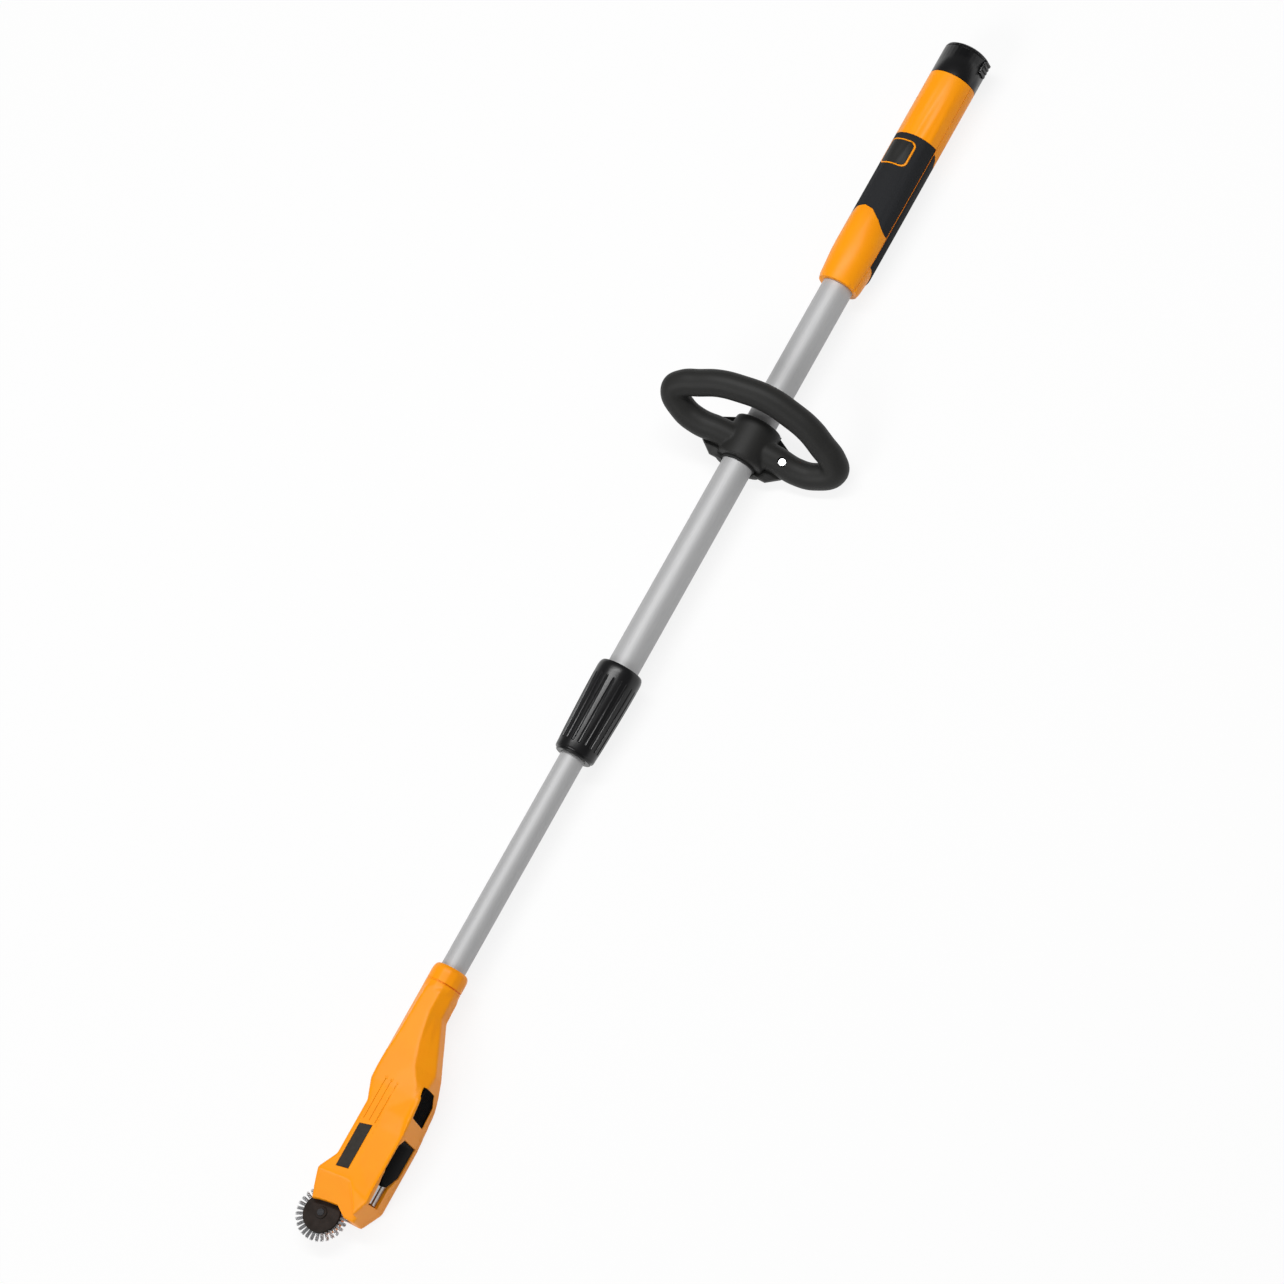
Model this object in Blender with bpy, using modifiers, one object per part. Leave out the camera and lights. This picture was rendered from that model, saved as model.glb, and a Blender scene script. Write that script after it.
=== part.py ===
"""Cordless weed brush: telescopic pole, powered wire brush head, loop handle and battery grip.

Units are metres. +X runs along the pole from the brush to the battery, +Z is up.
"""
import math

import bmesh
import bpy
from mathutils import Vector

# Lengths along the pole
BRUSH_TIP_R = 0.024
WHEEL_TO_SOCKET = 0.227
SOCKET_TO_COLLAR = 0.206
COLLAR_L = 0.086
COLLAR_TO_GRIP = 0.390
SHELL_L = 0.2145
CAP_L = 0.0325

# Pole tubes
LOWER_TUBE_R = 0.011
LOWER_WALL = 0.0014
UPPER_TUBE_R = 0.014
UPPER_WALL = 0.0013
TUBE_IN_HEAD = 0.046
TUBE_IN_GRIP = 0.055
UPPER_PAST_COLLAR = 0.015
LOWER_INSIDE = 0.270
BUSH_L = 0.012

# Fits
GAP = 0.0003
SLIDE_GAP = 0.00015
WALL = 0.0024

# Head
HEAD_HALF = 0.022
SPLIT_Z = -0.014
SOCKET_R = 0.0162
RIM_U = 0.223
WHEEL_Y = -0.0032
HUB_R = 0.0164
HUB_TOP = -0.0015
HUB_BOTTOM = -0.009
TUFT_Z = -0.005
TUFT_COUNT = 30
STRAND_R = 0.0003
SLOT_R = 0.0255
SLOT_TOP = -0.0008
SLOT_BOTTOM = -0.0098
SLOT_WALL = 0.0018
NOSE_R = 0.0132
POCKET_DEPTH = 0.007
POCKET_SIDE = 0.044

# Drive
MOTOR_R = 0.0138
MOTOR_L = 0.038
MOTOR_Y = -0.0195
LAY_U = 0.1925
CROWN_PITCH_R = 0.0084
PINION_R = 0.0028
GEAR_TOP = -0.013
GEAR_BOTTOM = -0.019

# Loop handle
LOOP_FROM_GRIP = 0.1690
LOOP_LEAN = 40.0
LOOP_TURN = 18.0
LOOP_BAR_R = 0.0124
LOOP_HALF_W = 0.0785
LOOP_TOP = 0.0575
LOOP_FOOT = 0.0045
CLAMP_START = -0.0155
SADDLE_START = -0.0125
SADDLE_END = 0.0255
LINER_T = 0.0014
SADDLE_T = 0.0060

# Grip and battery
GRIP_TURN = 17.0
GRIP_R = 0.02165
GRIP_START_R = 0.0185
GRIP_WALL = 0.0018
BATTERY_R = 0.0195
BATTERY_WALL = 0.0010
CELL_R = 0.0091
CELL_L = 0.065
PAD_T = 0.0010
BUTTON_FROM_END = 0.0850
BUTTON_L = 0.0230
BUTTON_W = 0.0253
BUTTON_PRESS = 0.0015

TOTAL = (BRUSH_TIP_R + WHEEL_TO_SOCKET + SOCKET_TO_COLLAR + COLLAR_L
         + COLLAR_TO_GRIP + SHELL_L + CAP_L)
X_END = TOTAL / 2
X_CAP = X_END - CAP_L
X_GRIP = X_CAP - SHELL_L
X_COLLAR_TOP = X_GRIP - COLLAR_TO_GRIP
X_COLLAR = X_COLLAR_TOP - COLLAR_L
X_SOCKET = X_COLLAR - SOCKET_TO_COLLAR
X_WHEEL = X_SOCKET - WHEEL_TO_SOCKET
X_LOWER_END = X_COLLAR + LOWER_INSIDE
LOOP_X = X_GRIP - LOOP_FROM_GRIP

for old in list(bpy.data.objects):
    bpy.data.objects.remove(old, do_unlink=True)

parts = bpy.data.collections.new("Cordless weed brush")
tools = bpy.data.collections.new("Cutters")
bpy.context.scene.collection.children.link(parts)
bpy.context.scene.collection.children.link(tools)


def material(name, colour, roughness, metallic=0.0):
    mat = bpy.data.materials.new(name)
    mat.use_nodes = True
    shader = mat.node_tree.nodes["Principled BSDF"]
    shader.inputs["Base Color"].default_value = (*colour, 1.0)
    shader.inputs["Roughness"].default_value = roughness
    shader.inputs["Metallic"].default_value = metallic
    return mat


ORANGE = (0.95, 0.33, 0.01)
BLACK = (0.012, 0.012, 0.012)
SOFT_BLACK = (0.035, 0.036, 0.038)
ALU = (0.46, 0.46, 0.46)
STEEL = (0.55, 0.55, 0.56)


def place(name, mesh, look=None, at=(0, 0, 0), turn=(0, 0, 0), parent=None):
    obj = bpy.data.objects.new(name, mesh)
    obj.location = at
    obj.rotation_euler = turn
    if parent is not None:
        obj.parent = parent
    if look is None:
        tools.objects.link(obj)
        obj.hide_render = True
        obj.display_type = 'WIRE'
    else:
        parts.objects.link(obj)
        mesh.materials.append(material(name, *look))
    return obj


def mesh_of(name, bm):
    bmesh.ops.recalc_face_normals(bm, faces=bm.faces)
    mesh = bpy.data.meshes.new(name)
    bm.to_mesh(mesh)
    bm.free()
    return mesh


def box(name, low, high, look=None, parent=None, bevel=0.0, origin=None):
    """Box between two corners, its origin at its own middle unless one is given."""
    low = Vector(low)
    high = Vector(high)
    centre = (low + high) / 2 if origin is None else Vector(origin)
    bm = bmesh.new()
    bmesh.ops.create_cube(bm, size=1.0)
    bmesh.ops.scale(bm, vec=high - low, verts=bm.verts)
    bmesh.ops.translate(bm, vec=(low + high) / 2 - centre, verts=bm.verts)
    obj = place(name, mesh_of(name, bm), look, centre, (0, 0, 0), parent)
    if bevel > 0:
        soften(obj, bevel)
    return obj


AXIS_TURN = {'X': (0, math.pi / 2, 0), 'Y': (-math.pi / 2, 0, 0), 'Z': (0, 0, 0)}


def rod(name, radius, length, at, axis='Z', look=None, parent=None, sides=32, end_radius=None):
    """Cylinder or cone that starts at a point and runs along an axis."""
    bm = bmesh.new()
    end = radius if end_radius is None else end_radius
    bmesh.ops.create_cone(bm, cap_ends=True, segments=sides, radius1=radius, radius2=end,
                          depth=length)
    bmesh.ops.translate(bm, vec=(0, 0, length / 2), verts=bm.verts)
    return place(name, mesh_of(name, bm), look, at, AXIS_TURN[axis], parent)


def turned(name, profile, at, axis='Z', look=None, parent=None, sides=48):
    """Closed profile of (radius, height) points, swept round an axis with Screw."""
    mesh = bpy.data.meshes.new(name)
    points = [(r, 0, h) for r, h in profile]
    count = len(points)
    if min(r for r, _ in profile) <= 0:
        edges = [(i, i + 1) for i in range(count - 1)]
    else:
        edges = [(i, (i + 1) % count) for i in range(count)]
    mesh.from_pydata(points, edges, [])
    obj = place(name, mesh, look, at, AXIS_TURN[axis], parent)
    screw = obj.modifiers.new("Turn", 'SCREW')
    screw.axis = 'Z'
    screw.angle = math.tau
    screw.steps = sides
    screw.render_steps = sides
    screw.use_merge_vertices = True
    screw.merge_threshold = 0.00001
    screw.use_smooth_shade = False
    return obj


def ring(name, outer, inner, length, at, axis='X', look=None, parent=None, sides=48, chamfer=0.0):
    """Plain tube that starts at a point and runs along an axis."""
    c = chamfer
    if c > 0:
        profile = [(outer - c, length), (outer, length - c), (outer, c), (outer - c, 0),
                   (inner, 0), (inner, length)]
    else:
        profile = [(outer, length), (outer, 0), (inner, 0), (inner, length)]
    return turned(name, profile, at, axis, look, parent, sides)


def plate(name, outline, start, thick, axis='Z', look=None, parent=None, at=None):
    """Flat outline raised to a thickness. Outline is (x, y), (x, z) or (y, z)."""
    bm = bmesh.new()
    if axis == 'Z':
        spots = [(a, b, start) for a, b in outline]
        lift = (0, 0, thick)
    elif axis == 'Y':
        spots = [(a, start, b) for a, b in outline]
        lift = (0, thick, 0)
    else:
        spots = [(start, a, b) for a, b in outline]
        lift = (thick, 0, 0)
    face = bm.faces.new([bm.verts.new(s) for s in spots])
    raised = bmesh.ops.extrude_face_region(bm, geom=[face])
    moved = [g for g in raised['geom'] if isinstance(g, bmesh.types.BMVert)]
    bmesh.ops.translate(bm, vec=lift, verts=moved)
    if at is not None:
        bmesh.ops.translate(bm, vec=-Vector(at), verts=bm.verts)
    return place(name, mesh_of(name, bm), look, at or (0, 0, 0), (0, 0, 0), parent)


def loft(name, rings, look=None, at=(0, 0, 0), parent=None):
    """Skin between rings that have the same number of points."""
    bm = bmesh.new()
    rows = [[bm.verts.new(Vector(p) - Vector(at)) for p in row] for row in rings]
    bm.faces.new(rows[0])
    bm.faces.new(rows[-1])
    for a, b in zip(rows, rows[1:]):
        for i in range(len(a)):
            j = (i + 1) % len(a)
            bm.faces.new((a[i], a[j], b[j], b[i]))
    return place(name, mesh_of(name, bm), look, at, (0, 0, 0), parent)


def soften(obj, width, segments=1, angle=30.0):
    bevel = obj.modifiers.new("Soften", 'BEVEL')
    bevel.width = width
    bevel.segments = segments
    bevel.limit_method = 'ANGLE'
    bevel.angle_limit = math.radians(angle)
    bevel.use_clamp_overlap = True
    return obj


def combine(obj, cutter, how='DIFFERENCE'):
    mod = obj.modifiers.new(cutter.name, 'BOOLEAN')
    mod.operation = how
    mod.solver = 'EXACT'
    mod.object = cutter
    return obj


def cut(obj, *cutters):
    for cutter in cutters:
        combine(obj, cutter)
    return obj


def pivot(name, at, turn=(0, 0, 0), parent=None):
    empty = bpy.data.objects.new(name, None)
    empty.location = at
    empty.rotation_euler = turn
    if parent is not None:
        empty.parent = parent
    parts.objects.link(empty)
    return empty


def gear_outline(teeth, pitch_r, module, phase=0.0, flank=0.21, tip=0.11):
    """Outline of a spur gear with straight flanks and generous play."""
    step = math.tau / teeth
    root = pitch_r - 1.15 * module
    outer = pitch_r + 0.8 * module
    out = []
    for k in range(teeth):
        mid = phase + k * step
        for r, off in ((root, -flank * step * 1.25), (outer, -tip * step),
                       (outer, tip * step), (root, flank * step * 1.25)):
            out.append((r * math.cos(mid + off), r * math.sin(mid + off)))
    return out


def gear(name, teeth, pitch_r, module, start, thick, phase, at, axis='Z', look=None, parent=None):
    shape = gear_outline(teeth, pitch_r, module, phase)
    bm = bmesh.new()
    face = bm.faces.new([bm.verts.new((x, y, start)) for x, y in shape])
    raised = bmesh.ops.extrude_face_region(bm, geom=[face])
    moved = [g for g in raised['geom'] if isinstance(g, bmesh.types.BMVert)]
    bmesh.ops.translate(bm, vec=(0, 0, thick), verts=moved)
    return place(name, mesh_of(name, bm), look, at, AXIS_TURN[axis], parent)


def head_x(u):
    return X_SOCKET - u


# Root of the tree. It is moved at the end, so that the tool lies on the floor
tool = pivot("tool", (0, 0, 0))
lower = pivot("lower_pole_axis", (0, 0, 0), parent=tool)

# Pole tubes
LOWER_START = X_SOCKET - TUBE_IN_HEAD
lower_tube = ring("lower_tube", LOWER_TUBE_R, LOWER_TUBE_R - LOWER_WALL, X_LOWER_END - LOWER_START,
                  (LOWER_START, 0, 0), look=(ALU, 0.34, 0.9), parent=lower, sides=28)
UPPER_START = X_COLLAR + UPPER_PAST_COLLAR
upper_tube = ring("upper_tube", UPPER_TUBE_R, UPPER_TUBE_R - UPPER_WALL,
                  X_GRIP + TUBE_IN_GRIP - UPPER_START,
                  (UPPER_START, 0, 0), look=(ALU, 0.34, 0.9), parent=tool, sides=32)

# Guide bush that rides inside the upper tube
BUSH_R = UPPER_TUBE_R - UPPER_WALL - SLIDE_GAP
SPIGOT_R = LOWER_TUBE_R - LOWER_WALL - SLIDE_GAP
BUSH_BORE = 0.006
guide = turned("guide_bush",
               [(BUSH_R, BUSH_L + GAP), (BUSH_R, GAP), (SPIGOT_R, GAP), (SPIGOT_R, -0.012),
                (BUSH_BORE, -0.012), (BUSH_BORE, BUSH_L + GAP)],
               (X_LOWER_END, 0, 0), 'X', (SOFT_BLACK, 0.6), lower, 24)

# Collet and clamp ring inside the twist collar
COLLET_R = 0.0165
COLLET_TIP_R = 0.0145
COLLET_BORE = LOWER_TUBE_R + GAP
UPPER_SEAT = UPPER_TUBE_R + GAP
collet = turned("collet",
                [(COLLET_R, 0.050), (COLLET_R, 0.022), (COLLET_TIP_R, 0.019), (COLLET_TIP_R, 0.004),
                 (COLLET_BORE, 0.004), (COLLET_BORE, UPPER_PAST_COLLAR - 0.001),
                 (UPPER_SEAT, UPPER_PAST_COLLAR - 0.001), (UPPER_SEAT, 0.050)],
                (X_COLLAR, 0, 0), 'X', ((0.25, 0.25, 0.25), 0.5), tool, 24)
for k in range(3):
    angle = math.pi * k / 3
    slit = box("collet_slit_%d" % (k + 1), (-0.001, -0.020, -0.0006), (0.0125, 0.020, 0.0006),
               parent=tool)
    slit.location = (X_COLLAR + 0.00575, 0, 0)
    slit.rotation_euler = (angle, 0, 0)
    combine(collet, slit)
clamp_ring = ring("clamp_ring", 0.0162, COLLET_TIP_R + GAP, 0.010, (X_COLLAR + 0.0065, 0, 0),
                  look=((0.30, 0.30, 0.30), 0.5), parent=tool, sides=24)
ring_split = box("clamp_ring_split", (X_COLLAR, -0.0012, 0.010), (X_COLLAR + 0.030, 0.0012, 0.020),
                 parent=tool)
combine(clamp_ring, ring_split)

# Twist collar with its flutes
FLUTES = 20
FLUTE_DEPTH = 0.0009
COLLAR_BORE = 0.0168
COLLAR_PROFILE = [(0.0, 0.01650, 0.0), (0.0020, 0.01650, 0.0), (0.0023, 0.01800, 0.0),
                  (0.0080, 0.01830, 0.0), (0.0105, 0.01840, 1.0), (0.0720, 0.02040, 0.8),
                  (0.0790, 0.02045, 0.0), (0.0860, 0.01930, 0.0)]


def collar_ring(x, radius, groove):
    row = []
    for k in range(FLUTES):
        for part_of, deep in ((0.0, 0), (0.34, 0), (0.67, 1)):
            a = math.tau * (k + part_of) / FLUTES
            r = radius - FLUTE_DEPTH * groove * deep
            row.append((X_COLLAR + x, r * math.cos(a), r * math.sin(a)))
    return row


LIP_BORE = LOWER_TUBE_R + 2 * GAP
collar_rows = [collar_ring(x * COLLAR_L / 0.086, r, g) for x, r, g in COLLAR_PROFILE]
twist_collar = loft("twist_collar", collar_rows, (BLACK, 0.28), at=(X_COLLAR, 0, 0), parent=tool)
collar_room = turned("collar_room",
                     [(0, COLLAR_L + 0.010), (UPPER_TUBE_R + 2 * GAP, COLLAR_L + 0.010),
                      (UPPER_TUBE_R + 2 * GAP, 0.0520), (COLLAR_BORE, 0.0510), (COLLAR_BORE, 0.0030),
                      (LIP_BORE, 0.0028), (LIP_BORE, -0.0100), (0, -0.0100)],
                     (X_COLLAR, 0, 0), 'X', None, tool, 32)
cut(twist_collar, collar_room)

# Head sections: distance from the socket rim, then left side, left strip half height,
# left crest, right side, right strip half height, right crest, half thickness, roundness
HEAD_SECTIONS = [
    (0.0240, 0.0149, 0.0062, 0.0066, -0.0160, 0.0068, -0.0072, 0.0163, 0.8),
    (0.0420, 0.0147, 0.0066, 0.0070, -0.0164, 0.0068, -0.0076, 0.0170, 0.5),
    (0.0710, 0.0145, 0.0068, 0.0073, -0.0302, 0.0072, -0.0146, 0.0185, 0.2),
    (0.0870, 0.0143, 0.0075, 0.0082, -0.0378, 0.0078, -0.0208, 0.0195, 0.0),
    (0.1000, 0.0131, 0.0100, 0.0078, -0.0402, 0.0140, -0.0306, 0.0210, 0.0),
    (0.1120, 0.0098, 0.0160, 0.0065, -0.0412, 0.0200, -0.0358, 0.0220, 0.0),
    (0.1300, 0.0008, 0.0205, -0.0008, -0.0428, 0.0202, -0.0372, 0.0220, 0.0),
    (0.1460, 0.0008, 0.0205, -0.0008, -0.0440, 0.0205, -0.0425, 0.0220, 0.0),
    (0.1800, 0.0008, 0.0205, -0.0008, -0.0440, 0.0205, -0.0425, 0.0220, 0.0),
    (0.1960, 0.0097, 0.0205, 0.0082, -0.0440, 0.0205, -0.0425, 0.0220, 0.0),
    (RIM_U, 0.0086, 0.0205, 0.0071, -0.0440, 0.0205, -0.0425, 0.0220, 0.0),
]


def circle_section(u, radius):
    row = []
    for k in range(16):
        a = math.tau * k / 16
        row.append((head_x(u), -radius * math.cos(a), radius * math.sin(a)))
    return row


def head_section(u, left, left_z, left_crest, right, right_z, right_crest, top, roundness,
                 wall=0.0):
    left -= wall
    right += wall
    top -= wall
    left_z = min(left_z, top - 0.0006)
    right_z = min(right_z, top - 0.0006)
    left_crest -= wall * 0.6
    right_crest += wall * 0.6
    corners = [(right, right_z), (right_crest, top), (left_crest, top), (left, left_z),
               (left, -left_z), (left_crest, -top), (right_crest, -top), (right, -right_z)]
    radius = (left - right) / 2
    middle = (left + right) / 2
    row = []
    for k in range(16):
        if k % 2 == 1:
            y, z = corners[(k - 1) // 2]
        else:
            before = corners[(k // 2 - 1) % 8]
            after = corners[k // 2 % 8]
            y = (before[0] + after[0]) / 2
            z = (before[1] + after[1]) / 2
            a = math.tau * k / 16
            y += (middle - radius * math.cos(a) - y) * roundness * 0.7
            z += (top * math.sin(a) - z) * roundness * 0.7
        row.append((head_x(u), y, z))
    return row


head_rows = [circle_section(0.0, SOCKET_R - 0.0026), circle_section(0.0018, SOCKET_R - 0.0009),
             circle_section(0.0050, SOCKET_R), circle_section(0.0200, SOCKET_R)]
head_rows += [head_section(*s) for s in HEAD_SECTIONS]

cavity_rows = []
CAVITY_START = 0.0520
CAVITY_END = 0.2120
MOTOR_WALL_Y = -POCKET_SIDE + POCKET_DEPTH + 0.0020


def blend_section(u):
    for a, b in zip(HEAD_SECTIONS, HEAD_SECTIONS[1:]):
        if a[0] <= u <= b[0]:
            f = (u - a[0]) / (b[0] - a[0])
            return tuple(x + (y - x) * f for x, y in zip(a, b))
    return HEAD_SECTIONS[-1]


for u in (CAVITY_START, 0.0710, 0.0870, 0.1000, 0.1120, 0.1300, 0.1400, 0.1800, 0.1960, CAVITY_END):
    s = list(blend_section(u))
    if u >= 0.1300:
        s[4] = MOTOR_WALL_Y - WALL
        s[6] = MOTOR_WALL_Y - WALL + 0.0015
    s[8] = 0.0
    cavity_rows.append(head_section(*s, wall=WALL))

# Front facet of the hood, as a leaning block that trims the casing
FACET_U = 0.1945
FACET_SLOPE = 0.77
FACET_SIDE = -0.0225
FACET_SPLAY = 0.55


def facet_edge(u, inset):
    return FACET_SIDE - (u - FACET_U) * FACET_SPLAY - inset


def facet_block(name, inset):
    top = HEAD_HALF - inset
    u_top = FACET_U - inset * 0.4
    tilt = 0.0021
    far = 0.300
    low = top - (far - u_top) * FACET_SLOPE
    rows = []
    for left_y, du in ((0.030, 0.0047), (None, 0.0)):
        u0 = u_top + du
        row = []
        for u, z in ((u0, top), (far, low + du * FACET_SLOPE), (far, 0.060), (u0 - 0.020, 0.060),
                     (u0, top + tilt)):
            y = facet_edge(u, inset) if left_y is None else left_y
            row.append((head_x(u), y, z))
        rows.append(row)
    return loft(name, rows, parent=lower)


def right_facet_block(name, inset):
    """Gentler facet right of the front facet."""
    top = HEAD_HALF - inset
    rows = []
    for right_y in (None, -0.100):
        row = []
        for u, z in ((0.1960 - inset * 0.4, top), (0.2130, 0.0160 - inset), (0.3000, -0.0080 - inset),
                     (0.3000, 0.060), (0.1960 - inset * 0.4, 0.060)):
            y = facet_edge(u, inset) + 0.0002 if right_y is None else right_y
            row.append((head_x(u), y, z))
        rows.append(row)
    return loft(name, rows, parent=lower)


def corner_block(name, inset):
    """Slanted front right corner."""
    return plate(name, [(head_x(0.2040 - inset), -0.0440 - 0.0002), (head_x(0.2440), -0.0440 - 0.0002),
                        (head_x(0.2440), -0.0180 + inset * 1.2), (head_x(0.2220), -0.0340 + inset * 1.2)],
                 -0.030, 0.060, 'Z', None, lower)


SPINDLE = (X_WHEEL, WHEEL_Y)
LAY = (head_x(LAY_U), MOTOR_Y)


def between(a, b, ra, rb):
    """Point at distance ra from a and rb from b."""
    dx = b[0] - a[0]
    dy = b[1] - a[1]
    d = math.hypot(dx, dy)
    along = (ra * ra - rb * rb + d * d) / (2 * d)
    off = math.sqrt(max(ra * ra - along * along, 0.0))
    return (a[0] + (along * dx + off * dy) / d, a[1] + (along * dy - off * dx) / d)


MODULE = 0.001
LAY_TEETH = 14
IDLER_TEETH = 22
SPINDLE_TEETH = 20
LAY_R = LAY_TEETH * MODULE / 2
IDLER_R = IDLER_TEETH * MODULE / 2
SPINDLE_GEAR_R = SPINDLE_TEETH * MODULE / 2
IDLER = between(LAY, SPINDLE, LAY_R + IDLER_R, SPINDLE_GEAR_R + IDLER_R)

# Hollow of the head, with the wheel slot's walls left standing in it
hollow = loft("head_hollow", cavity_rows, parent=lower)
slot_block = rod("slot_walls", SLOT_R + SLOT_WALL, SLOT_TOP + SLOT_WALL - SLOT_BOTTOM + SLOT_WALL,
                 (*SPINDLE, SLOT_BOTTOM - SLOT_WALL), parent=lower, sides=32)
cut(hollow, facet_block("hollow_facet", WALL), right_facet_block("hollow_right_facet", WALL),
    corner_block("hollow_corner", WALL + 0.0006), slot_block)
gear_room = box("gear_room", (head_x(0.2214), -0.0300, GEAR_BOTTOM - 0.0010),
                (head_x(0.1840), 0.0056, SLOT_BOTTOM - SLOT_WALL), parent=lower)
nose_room = rod("nose_room", NOSE_R - 0.0014, SLOT_BOTTOM - SLOT_WALL - GEAR_BOTTOM + 0.0010,
                (*SPINDLE, GEAR_BOTTOM - 0.0010), parent=lower, sides=28)

SCREW_SPOTS = [(head_x(0.0660), -0.0100), (head_x(0.1340), -0.0300), (head_x(0.1340), -0.0046),
               (head_x(0.2120), -0.0330)]
for n, (sx, sy) in enumerate(SCREW_SPOTS[:3]):
    post = rod("head_post_%d" % (n + 1), 0.0036, 0.050, (sx, sy, -0.025), parent=lower, sides=12)
    combine(hollow, post)

slot_cut = rod("wheel_slot", SLOT_R, SLOT_TOP - SLOT_BOTTOM, (*SPINDLE, SLOT_BOTTOM), parent=lower,
               sides=40)
NOTCH = [(0.0089, 0.0064), (0.0102, -0.0021), (0.0112, -0.0129), (0.0020, -0.0240),
         (-0.0300, -0.0240), (-0.0300, 0.0300), (0.0020, 0.0300)]
notch_cut = plate("wheel_notch", [(X_WHEEL + a, WHEEL_Y + b) for a, b in NOTCH], SLOT_TOP - 0.001,
                  0.040, 'Z', None, lower)
socket_bore = rod("socket_bore", LOWER_TUBE_R + SLIDE_GAP, TUBE_IN_HEAD + GAP + 0.002,
                  (head_x(TUBE_IN_HEAD + GAP), 0, 0), 'X', parent=lower, sides=28)
cable_bore = rod("cable_bore", 0.006, 0.012, (head_x(TUBE_IN_HEAD + 0.0090), 0, 0), 'X',
                 parent=lower, sides=16)
spindle_bore = rod("spindle_bore", 0.0048, 0.006, (*SPINDLE, -0.0135), parent=lower, sides=16)

VENT = [(0.1010, 0.0120), (0.1005, -0.0060), (0.1070, -0.0115), (0.1290, -0.0120),
        (0.1310, 0.0170), (0.1110, 0.0170)]
vent_hole = plate("vent_hole", [(head_x(u), z) for u, z in VENT], -0.050, 0.0165, 'Y', None, lower)
POCKET = [(0.1475, -0.0137), (0.1495, 0.0126), (0.1583, 0.0178), (0.1800, 0.0180),
          (0.1900, 0.0149), (0.2050, 0.0135), (0.2039, -0.0050), (0.1858, -0.0050),
          (0.1785, -0.0093)]
pocket_cut = plate("key_pocket", [(head_x(u), z) for u, z in POCKET], -0.060,
                   0.060 - POCKET_SIDE + POCKET_DEPTH, 'Y', None, lower)
LABEL_T = 0.0008
LABEL = [(0.1500, -0.0046), (0.1892, -0.0046), (0.1872, -0.0155), (0.1474, -0.0155)]


def grow(outline, by):
    """Outline whose edges are all moved outward by a small amount."""
    count = len(outline)
    area = sum(outline[i - 1][0] * outline[i][1] - outline[i][0] * outline[i - 1][1]
               for i in range(count))
    way = by if area > 0 else -by
    out = []
    for i in range(count):
        before = Vector(outline[i - 1])
        here = Vector(outline[i])
        after = Vector(outline[(i + 1) % count])
        a = (here - before).normalized()
        b = (after - here).normalized()
        na = Vector((a.y, -a.x))
        nb = Vector((b.y, -b.x))
        middle = na + nb
        spot = here + middle * (way * 2 / middle.length_squared)
        out.append((spot.x, spot.y))
    return out


label_cut = plate("label_recess", [(head_x(u), y) for u, y in grow(LABEL, GAP)],
                  HEAD_HALF - LABEL_T - 0.0002, 0.010, 'Z', None, lower)
clamp_hole = rod("socket_screw_hole", 0.0017, 0.012, (head_x(0.012), 0, -0.020), parent=lower,
                 sides=16)
clamp_seat = rod("socket_screw_seat", 0.0031, 0.006, (head_x(0.012), 0, -0.0195), parent=lower,
                 sides=20)


def trim_head(obj):
    cut(obj, facet_block(obj.name + "_facet", 0.0),
        right_facet_block(obj.name + "_right_facet", 0.0),
        corner_block(obj.name + "_corner", 0.0))


ORANGE_LOOK = (ORANGE, 0.35)
head_body = loft("head_body", head_rows, ORANGE_LOOK, at=(X_SOCKET, 0, 0), parent=lower)
trim_head(head_body)
nose = rod("head_body_nose", NOSE_R, SLOT_BOTTOM + HEAD_HALF, (*SPINDLE, -HEAD_HALF),
           parent=lower, sides=32)
combine(head_body, nose, 'UNION')
cut(head_body, hollow, gear_room, nose_room, slot_cut, notch_cut, socket_bore, cable_bore,
    spindle_bore, vent_hole, pocket_cut, label_cut, clamp_hole, clamp_seat)
for n, y in enumerate((-0.0054, -0.0109, -0.0168)):
    groove = box("head_groove_%d" % (n + 1), (head_x(0.1450), y - 0.0006, HEAD_HALF - 0.0006),
                 (head_x(0.1070), y + 0.0006, HEAD_HALF + 0.004), parent=lower)
    combine(head_body, groove)
cover_split = box("cover_split", (head_x(0.2450), -0.060, -0.040), (head_x(0.0560), 0.040, SPLIT_Z),
                  parent=lower)
combine(head_body, cover_split)
for n, (sx, sy) in enumerate(SCREW_SPOTS):
    pilot = rod("head_pilot_%d" % (n + 1), 0.0016, 0.014, (sx, sy, SPLIT_Z - 0.002), parent=lower,
                sides=10)
    combine(head_body, pilot)

head_cover = loft("head_cover", head_rows, ORANGE_LOOK, at=(X_SOCKET, 0, -HEAD_HALF), parent=lower)
cover_keep = box("cover_keep", (head_x(0.2450), -0.060, -0.040),
                 (head_x(0.0560 + GAP), 0.040, SPLIT_Z - GAP / 2), parent=lower)
trim_head(head_cover)
cover_nose = rod("head_cover_nose", NOSE_R, SLOT_BOTTOM + HEAD_HALF, (*SPINDLE, -HEAD_HALF),
                 parent=lower, sides=32)
combine(head_cover, cover_nose, 'UNION')
combine(head_cover, cover_keep, 'INTERSECT')
cut(head_cover, hollow, gear_room, nose_room)
for n, (sx, sy) in enumerate(SCREW_SPOTS):
    through = rod("cover_hole_%d" % (n + 1), 0.0017, 0.012, (sx, sy, -0.024), parent=lower, sides=10)
    seat = rod("cover_seat_%d" % (n + 1), 0.0032, 0.0040, (sx, sy, -0.0230), parent=lower, sides=16)
    cut(head_cover, through, seat)

STEEL_LOOK = (STEEL, 0.3, 1.0)
DARK_STEEL = ((0.10, 0.10, 0.11), 0.35, 0.8)


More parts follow.
